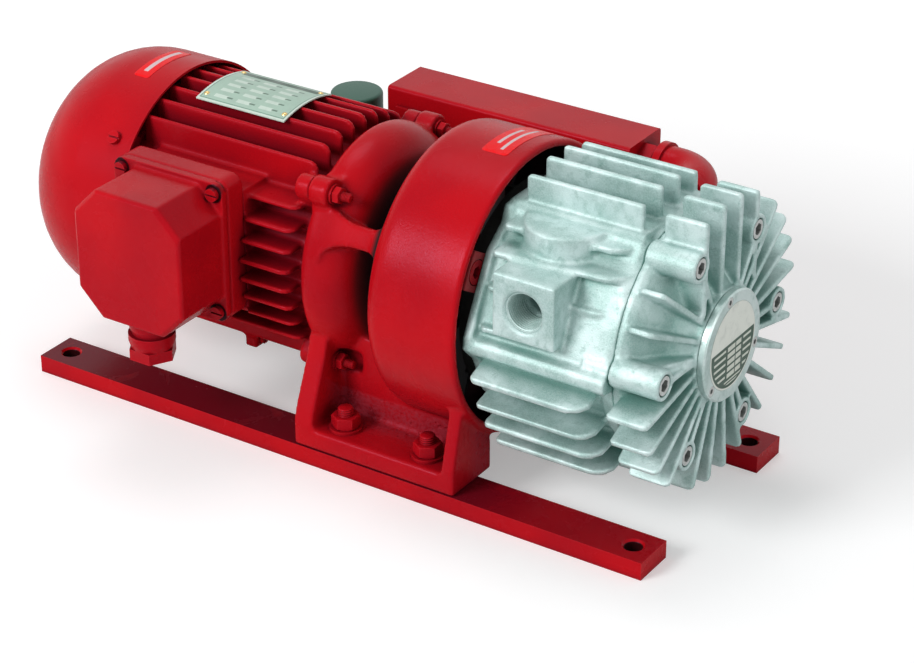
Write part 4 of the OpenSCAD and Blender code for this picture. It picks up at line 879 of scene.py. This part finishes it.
def make_round_shading():
    """Smooth faces everywhere, but edges sharper than the angle stay sharp."""
    tree = bpy.data.node_groups.new("round_shading", "GeometryNodeTree")
    for way in ("INPUT", "OUTPUT"):
        tree.interface.new_socket("Geometry", in_out=way, socket_type="NodeSocketGeometry")
    angle = add(tree, "GeometryNodeInputMeshEdgeAngle").outputs["Unsigned Angle"]
    is_flat = add(tree, "FunctionNodeCompare", {0: angle, 1: SMOOTH_BELOW},
        operation="LESS_THAN").outputs[0]
    shape = tree.nodes.new("NodeGroupInput").outputs[0]
    for domain, smooth in (("FACE", True), ("EDGE", is_flat)):
        shape = add(tree, "GeometryNodeSetShadeSmooth", {"Geometry": shape,
            "Shade Smooth": smooth}, domain=domain).outputs[0]
    feed(tree.nodes.new("NodeGroupOutput").inputs[0], shape)
    return tree


round_shading = make_round_shading()


def modify(thing, name, kind, **settings):
    """Adds a modifier to an object and sets it."""
    modifier = thing.modifiers.new(name, kind)
    for label, value in settings.items():
        setattr(modifier, label, value)


def weld(thing):
    """Joins the loose triangles of a CAD mesh, so that neighbours share their corners."""
    modify(thing, "weld", "WELD", merge_threshold=WELD_REACH)


def shade_round(thing):
    """Smooth shading that leaves the sharp edges sharp."""
    modify(thing, "round_shading", "NODES", node_group=round_shading)


def as_cast(thing, voxel, passes):
    """Voxel remesh, then smoothing: edges get a radius of about one to two voxels."""
    weld(thing)
    modify(thing, "cast_skin", "REMESH", mode="VOXEL", voxel_size=voxel * MM, use_smooth_shade=True)
    modify(thing, "cast_edges", "SMOOTH", factor=0.5, iterations=passes)


def as_machined(thing, edge):
    """Joins flat triangles to whole faces, takes a narrow bevel off every sharp edge, and
    shades it round."""
    weld(thing)
    modify(thing, "whole_faces", "DECIMATE", decimate_type="DISSOLVE", angle_limit=FLAT_BELOW)
    modify(thing, "broken_edges", "BEVEL", width=edge * MM, segments=2, limit_method="ANGLE",
        angle_limit=BEVEL_ABOVE, use_clamp_overlap=True)
    shade_round(thing)
    modify(thing, "flat_faces", "WEIGHTED_NORMAL", keep_sharp=True)


# %% Which node gets which edges
CAST = {"bell_housing": (1.6, 5), "pump_cylinder": (1.25, 3), "end_cover": (1.1, 3),
    "stator_housing": (1.3, 2), "terminal_cover": (1.0, 3), "terminal_box": (1.1, 2)}
BEVELS = {"front_rail": 0.5, "rear_rail": 0.5, "silencer_box": 0.6, "bearing_cap": 0.4,
    "cap_plate": 0.2, "fan_cowl": 0.5, "silencer_bracket": 0.5}
for name, thing in nodes.items():
    if name in CAST:
        as_cast(thing, *CAST[name])
    elif name in BEVELS:
        as_machined(thing, BEVELS[name])
    else:
        weld(thing)
        shade_round(thing)
print("cast:", len(CAST), "- machined:", len(BEVELS))

# %% [markdown]
# ## Making pieces from formulas
#
# The small parts that follow are grids of points worked out for all points at
# once. A grid that goes round closes on itself, and a helper turns rows of
# points into faces whose normals point outwards. A part that stands in four
# places is worked out once and then moved.

# %% Grid helpers


def ring_faces(row_count, column_count, close_rows=False):
    """Quads between neighbouring rows of a grid that closes round its columns."""
    row = np.arange(row_count if close_rows else row_count - 1)[:, None] * column_count
    above = (row + column_count) % (row_count * column_count)
    column = np.arange(column_count)[None, :]
    after = (column + 1) % column_count
    quads = np.broadcast_arrays(row + column, row + after, above + after, above + column)
    return np.stack(quads, axis=-1).reshape(-1, 4)


def lathe_rows(radii, heights, angles):
    """Points (r cos a, r sin a, h) for a table of radii over rows and angles."""
    high = np.broadcast_to(np.asarray(heights)[:, None], radii.shape)
    points = np.stack([radii * np.cos(angles), radii * np.sin(angles), high], axis=-1)
    return points.reshape(-1, 3)


def make_piece(name, points, quads, material, caps=()):
    """A mesh object from points and quads, with a fan on each ring that caps lists as (first
    point of the ring, ring length, centre point, whether it faces back)."""
    points = points.tolist()
    faces = quads.tolist()
    for first, count, centre, back in caps:
        middle = len(points)
        points.append(centre)
        for k in range(count):
            a, b = first + k, first + (k + 1) % count
            faces.append((b, a, middle) if back else (a, b, middle))
    mesh = bpy.data.meshes.new(name)
    mesh.from_pydata(points, [], faces)
    mesh.polygons.foreach_set("use_smooth", [True] * len(faces))
    mesh.update()
    piece = in_scene(name, mesh)
    wear(piece, material)
    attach(piece, "frame")
    return piece


def several(part, moves):
    """A part of (points, quads, caps) put through each move, as one set of arrays."""
    part_points, part_quads, part_caps = part
    points, quads, caps = [], [], []
    for k, move in enumerate(moves):
        start = k * len(part_points)
        points.append(move(part_points))
        quads.append(part_quads + start)
        caps += [(first + start, count, tuple(move(np.array([centre]))[0]), back)
            for first, count, centre, back in part_caps]
    return np.vstack(points), np.vstack(quads), caps


def in_place_of(node, name, part, moves):
    """Makes a red part in several places, and lets it stand in for a node of the frame."""
    points, quads, caps = several(part, moves)
    piece = make_piece(name, points, quads, bar_red, caps)
    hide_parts(node)
    print(name, len(points), "points in place of", node)
    return piece


# %% [markdown]
# ## Studs with real threads
#
# A thread is a triangle wave that climbs one pitch a turn: the height along
# the stud in pitches, less the angle in turns. The wave is cut off at its
# crest and root, as a rolled thread is, and the end of the stud is chamfered.

# %% Threads
STEPS_A_PITCH = 8


def thread_grid(pitch, low, high, columns):
    """Angles, heights, the wave over both (nought at the root, one at the crest: the clipped
    triangle wave of height / pitch - angle / (2 pi)) and the distance from the nearer end."""
    angle = np.arange(columns) * 2 * np.pi / columns
    height = np.linspace(low, high, int((high - low) / pitch * STEPS_A_PITCH) + 1)
    saw = (height[:, None] / pitch - angle[None, :] / (2 * np.pi)) % 1.0
    wave = np.clip(1.6 * np.abs(2 * saw - 1) - 0.3, 0, 1)
    return angle, height, wave, np.minimum(height - low, high - height)[:, None]


def threaded_rod(radius, pitch, low, high, columns=36):
    """A rod along Z: r = radius - depth (1 - wave), and less near its two ends."""
    depth = 0.6 * pitch
    angle, height, wave, near_end = thread_grid(pitch, low, high, columns)
    radii = np.minimum(radius - depth * (1 - wave), radius - depth + near_end)
    last = (len(height) - 1) * columns
    caps = [(0, columns, (0, 0, low), True), (last, columns, (0, 0, high), False)]
    return lathe_rows(radii, height, angle), ring_faces(len(height), columns), caps


def upright(x, y):
    """A move of local points to a place in X and Y."""
    return lambda p: p + np.array([x, y, 0.0])


def along_shaft(angle, radius):
    """A move that turns local Z along the shaft, at an angle and a radius about it."""
    y, z = radius * math.cos(angle), AXIS_Z + radius * math.sin(angle)
    return lambda p: np.stack([p[:, 2], p[:, 0] + y, p[:, 1] + z], axis=-1)


# %% Foot and flange studs
FOOT_STUD_R = 5 * MM
FOOT_PITCH = 1.5 * MM
FLANGE_STUD_R = 3 * MM
FLANGE_PITCH = 1.0 * MM
STUD_END = 1 * MM
FLANGE_ANGLES = [math.radians(turn) for turn in (45, 135, 225, 315)]

low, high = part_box("foot_studs")
foot_moves = [upright(x, y) for x in (low[0] + FOOT_STUD_R, high[0] - FOOT_STUD_R)
    for y in (low[1] + FOOT_STUD_R, high[1] - FOOT_STUD_R)]
rod = threaded_rod(FOOT_STUD_R, FOOT_PITCH, low[2], high[2] - STUD_END)
in_place_of("foot_studs", "foot_stud_threads", rod, foot_moves)

low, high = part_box("flange_studs")
stud_circle = (high[1] - FLANGE_STUD_R) * math.sqrt(2)
flange_moves = [along_shaft(angle, stud_circle) for angle in FLANGE_ANGLES]
rod = threaded_rod(FLANGE_STUD_R, FLANGE_PITCH, low[0], high[0])
in_place_of("flange_studs", "flange_stud_threads", rod, flange_moves)

# %% [markdown]
# ## Hexagon nuts
#
# A nut is a hexagonal bar cut by a cone at each face, which leaves the curved
# marks on its six flats. In a formula: the radius at an angle is the smaller
# of the hexagon's and the cone's, and the cone grows with the distance from
# the nearer face.

# %% Nuts
CHAMFER_OF_HEIGHT = 0.16
FACE_OF_ACROSS = 0.485
FOOT_NUT_ACROSS = 16 * MM
FOOT_NUT_BORE = FOOT_STUD_R - 0.6 * MM
FLANGE_NUT_ACROSS = 9.7 * MM
FLANGE_NUT_BORE = FLANGE_STUD_R - 0.4 * MM


def hex_nut(across, bore, low, high, columns=72):
    """r = min(across / 2 / cos(angle from the nearest flat), cone) over a closed section."""
    angle = np.arange(columns) * 2 * np.pi / columns
    from_flat = (angle + np.pi / 6) % (np.pi / 3) - np.pi / 6
    hexagon = across / 2 / np.cos(from_flat)
    rise = np.linspace(0, 1, 5) * CHAMFER_OF_HEIGHT * (high - low)
    heights = np.concatenate([low + rise, high - rise[::-1]])
    near = np.minimum(heights - low, high - heights)
    cone = FACE_OF_ACROSS * across + near * np.sqrt(3)
    wall = np.full((1, columns), bore)
    radii = np.vstack([wall, np.minimum(hexagon[None, :], cone[:, None]), wall])
    points = lathe_rows(radii, np.concatenate([[low], heights, [high]]), angle)
    return points, ring_faces(len(radii), columns, close_rows=True), []


low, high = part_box("foot_nuts")
nut = hex_nut(FOOT_NUT_ACROSS, FOOT_NUT_BORE, low[2], high[2])
shade_round(in_place_of("foot_nuts", "foot_nut_hexagons", nut, foot_moves))
low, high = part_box("flange_nuts")
nut = hex_nut(FLANGE_NUT_ACROSS, FLANGE_NUT_BORE, low[0], high[0])
shade_round(in_place_of("flange_nuts", "flange_nut_hexagons", nut, flange_moves))

# %% [markdown]
# ## The thread in the open port
#
# The suction port is tapped for a pipe. The thread is the same wave as on the
# studs, turned inside out: a sleeve whose inner wall has the wave and whose
# outer wall is sunk in the casting.

# %% Port thread
PIPE_PITCH = 1.814 * MM
SLEEVE_WALL = 0.4 * MM


def tapped_sleeve(radius, pitch, low, high, columns=64):
    """A closed sleeve along Z: inner r = radius - depth wave, outer r = radius + the wall."""
    depth = 0.5 * pitch
    angle, height, wave, near_end = thread_grid(pitch, low, high, columns)
    inner = np.maximum(radius - depth * wave, radius - near_end)
    wall = np.full((1, columns), radius + SLEEVE_WALL)
    radii = np.vstack([inner[::-1], wall, wall])
    points = lathe_rows(radii, np.concatenate([height[::-1], [low], [high]]), angle)
    return points, ring_faces(len(radii), columns, close_rows=True), []


port = mounts["suction_port"]
port_x, port_y, port_z = port["pos_m"]
sleeve = tapped_sleeve(port["dims"]["r_mm"] * MM, PIPE_PITCH, 0, port["dims"]["length_mm"] * MM)
points, quads, _ = several(sleeve, [lambda p: np.stack([port_x + p[:, 0], port_y + p[:, 2],
    port_z + p[:, 1]], axis=-1)])
make_piece("port_thread", points, quads[:, ::-1], pump_silver)
print("port_thread", len(points), "points")

# %% [markdown]
# ## Two strips of red film
#
# On the cowl and on the drum there is a strip of self-adhesive film, brighter
# than the paint. It is bent round the shaft, its corners are round, and it
# stands out by less than the thickness of a card. It carries plain pale strips
# only, and no words.

# %% Film finish
FILM_RED = rgb(0.84, 0.006, 0.010)
FILM_SCUFF = rgb(0.76, 0.06, 0.08)
FILM_PRINT = rgb(0.66, 0.62, 0.64)


def film_finish(name, strips):
    """Bright smooth film with a faint scuff, and plain pale strips of (x range, y range)."""
    material, tree = new_material(name, Specular_IOR_Level=0.15, IOR=1.45)
    place = use(tree, shaft_place)
    tone = use(tree, tone_drift, Patch_Size=12 * MM)
    colour = tint(FILM_RED, FILM_SCUFF, tone["Film"], 0.25)
    for x_range, y_range in strips:
        strip = panel(place["Along"], place["Side"], x_range, y_range)
        colour = tint(colour, FILM_PRINT, strip, 0.85)
    coat(tree, colour, ramp(tone["Drift"], 0.0, 1.0, 0.25, 0.4), tone["Drift"], 0.03 * MM)
    return material


# %% Film strips
FILM_CORNER = 2 * MM
FILM_RISE = 0.25 * MM
CORNER_STEPS = (0, 0.05, 0.15, 0.3, 0.5, 0.75, 1)
COLUMNS_ACROSS = 25


def curved_patch(name, x_range, y_range, radius, material):
    """A patch at (x, y, axis + sqrt(r^2 - y^2)); near its ends its half width shrinks by the
    round corner, c - sqrt(c^2 - (c - d)^2) at a distance d from the end."""
    edge = np.array(CORNER_STEPS) * FILM_CORNER
    x = np.concatenate([x_range[0] + edge, x_range[1] - edge[::-1]])
    end = np.minimum(x - x_range[0], x_range[1] - x)
    from_round = np.maximum(FILM_CORNER - end, 0)
    shrink = FILM_CORNER - np.sqrt(np.maximum(FILM_CORNER ** 2 - from_round ** 2, 0))
    half = (y_range[1] - y_range[0]) / 2 - shrink[:, None]
    y = (y_range[0] + y_range[1]) / 2 + half * np.linspace(-1, 1, COLUMNS_ACROSS)[None, :]
    over, under = [np.stack([np.broadcast_to(x[:, None], y.shape), y,
        AXIS_Z + np.sqrt(level ** 2 - y ** 2)], axis=-1)
        for level in (radius + FILM_RISE, radius - FILM_RISE)]
    loop = np.concatenate([over, under[:, ::-1]], axis=1)
    count = 2 * COLUMNS_ACROSS
    k = np.arange(COLUMNS_ACROSS - 1)
    near = np.stack([k + 1, k, count - 1 - k, count - 2 - k], axis=-1)
    far = near[:, [1, 0, 3, 2]] + (len(x) - 1) * count
    quads = np.vstack([ring_faces(len(x), count), near, far])
    return make_piece(name, loop.reshape(-1, 3), quads, material)


FILMS = {
    "cowl": ("fan_cowl", (-189 * MM, -177 * MM), (-24 * MM, 22 * MM),
        [((-185 * MM, -181.8 * MM), (-18 * MM, 18 * MM))]),
    "drum": ("bell_housing", (72 * MM, 90 * MM), (-17 * MM, 40 * MM),
        [((76.5 * MM, 78.5 * MM), (-6 * MM, 22 * MM)),
            ((82.5 * MM, 84.5 * MM), (-12 * MM, 30 * MM))]),
}
for part, (under_it, x_range, y_range, strips) in FILMS.items():
    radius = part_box(under_it)[1][2] - AXIS_Z
    finish = film_finish("red_film_on_" + part, strips)
    piece = curved_patch(part + "_film", x_range, y_range, radius, finish)
    print(piece.name, "on a radius of", round(radius / MM, 1), "mm")

# %% [markdown]
# ## Floor
#
# The machine stands on a pale sheet that fills the picture. A sheet that only
# the lamps light would go grey where they don't reach, so it also glows a
# little, but for camera rays only: it throws no light on the machine.

# %% Floor
FLOOR_HALF = 6.0
FLOOR_GREY = rgb(0.78, 0.78, 0.785)
GLOW_NEAR = (0.36, 0.75, 0.33, 0.46)
GLOW_FAR = (1.0, 2.4, 0.0, 0.5)


def make_floor():
    """A wide flat sheet whose glow grows with the distance, in a near and a far step."""
    mesh = bpy.data.meshes.new("floor")
    outline = [(x * FLOOR_HALF, y * FLOOR_HALF, 0) for x, y in ((-1, -1), (1, -1), (1, 1), (-1, 1))]
    mesh.from_pydata(outline, [], [(0, 1, 2, 3)])
    floor = in_scene("floor", mesh)
    material, tree = new_material("pale_floor", Roughness=0.9, Specular_IOR_Level=0.1,
        Base_Color=FLOOR_GREY)
    place = use(tree, shaft_place)
    distance = hypotenuse(place["Along"], place["Side"])
    lift = plus(ramp(distance, *GLOW_NEAR), ramp(distance, *GLOW_FAR))
    seen = add(tree, "ShaderNodeLightPath").outputs["Is Camera Ray"]
    glow = add(tree, "ShaderNodeEmission", {"Color": rgb(1, 1, 1), "Strength": times(seen, lift)})
    lit = add(tree, "ShaderNodeAddShader", {0: shader_of(tree).outputs[0], 1: glow.outputs[0]})
    feed(tree.nodes["Material Output"].inputs["Surface"], lit.outputs[0])
    wear(floor, material)
    floor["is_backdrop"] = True
    return floor


floor = make_floor()
print("floor:", floor.name)

# %% [markdown]
# ## Lamps and daylight
#
# Daylight from the world fills the shadows, one large lamp from above and the
# left models the round castings, and a weaker one from the right keeps the
# pump's far side readable. Rays that mirror in metal see white, as they would
# in a studio tent.

# %% Lamps and world
LAMPS = {
    "key_lamp": ((-0.9, -2.1, 1.45), (0, 0, 0.1), 1.0, 45),
    "fill_lamp": ((2.3, -0.6, 0.9), (0.1, 0, 0.1), 1.2, 10),
    "top_lamp": ((-0.5, 0.5, 2.4), (0, 0, 0.1), 1.0, 13),
}
DAYLIGHT = 0.36


def soft_lamp(name, place, target, size, power):
    """A square area lamp at a place, turned to face a target."""
    lamp = bpy.data.lights.new(name, "AREA")
    lamp.shape = "SQUARE"
    lamp.size = size
    lamp.energy = power
    thing = in_scene(name, lamp)
    x, y, z = [there - here for there, here in zip(place, target)]
    thing.location = place
    thing.rotation_euler = (math.atan2(math.hypot(x, y), z), 0, math.atan2(y, x) + math.pi / 2)


def make_world():
    """White for rays that the camera or a shiny surface sends out, a soft grey for the rest."""
    world = bpy.data.worlds.new("studio")
    bpy.context.scene.world = world
    world.use_nodes = True
    tree = world.node_tree
    path = add(tree, "ShaderNodeLightPath").outputs
    shown = maths("MAXIMUM", path["Is Glossy Ray"], path["Is Transmission Ray"])
    shown = maths("MAXIMUM", path["Is Camera Ray"], shown)
    back = tree.nodes["Background"].inputs
    feed(back["Color"], rgb(1, 1, 1))
    feed(back["Strength"], plus(DAYLIGHT, times(shown, 1 - DAYLIGHT)))


for name, settings in LAMPS.items():
    soft_lamp(name, *settings)
make_world()
bpy.context.scene.view_settings.view_transform = "Standard"
print("lamps:", list(LAMPS))

# %% [markdown]
# ## The size of the dressed machine
#
# Finishing must not change how large the machine is. The box of the dressed
# machine is printed.

# %% Size
low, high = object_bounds()
print("box:", [round(v, 4) for v in low], [round(v, 4) for v in high])
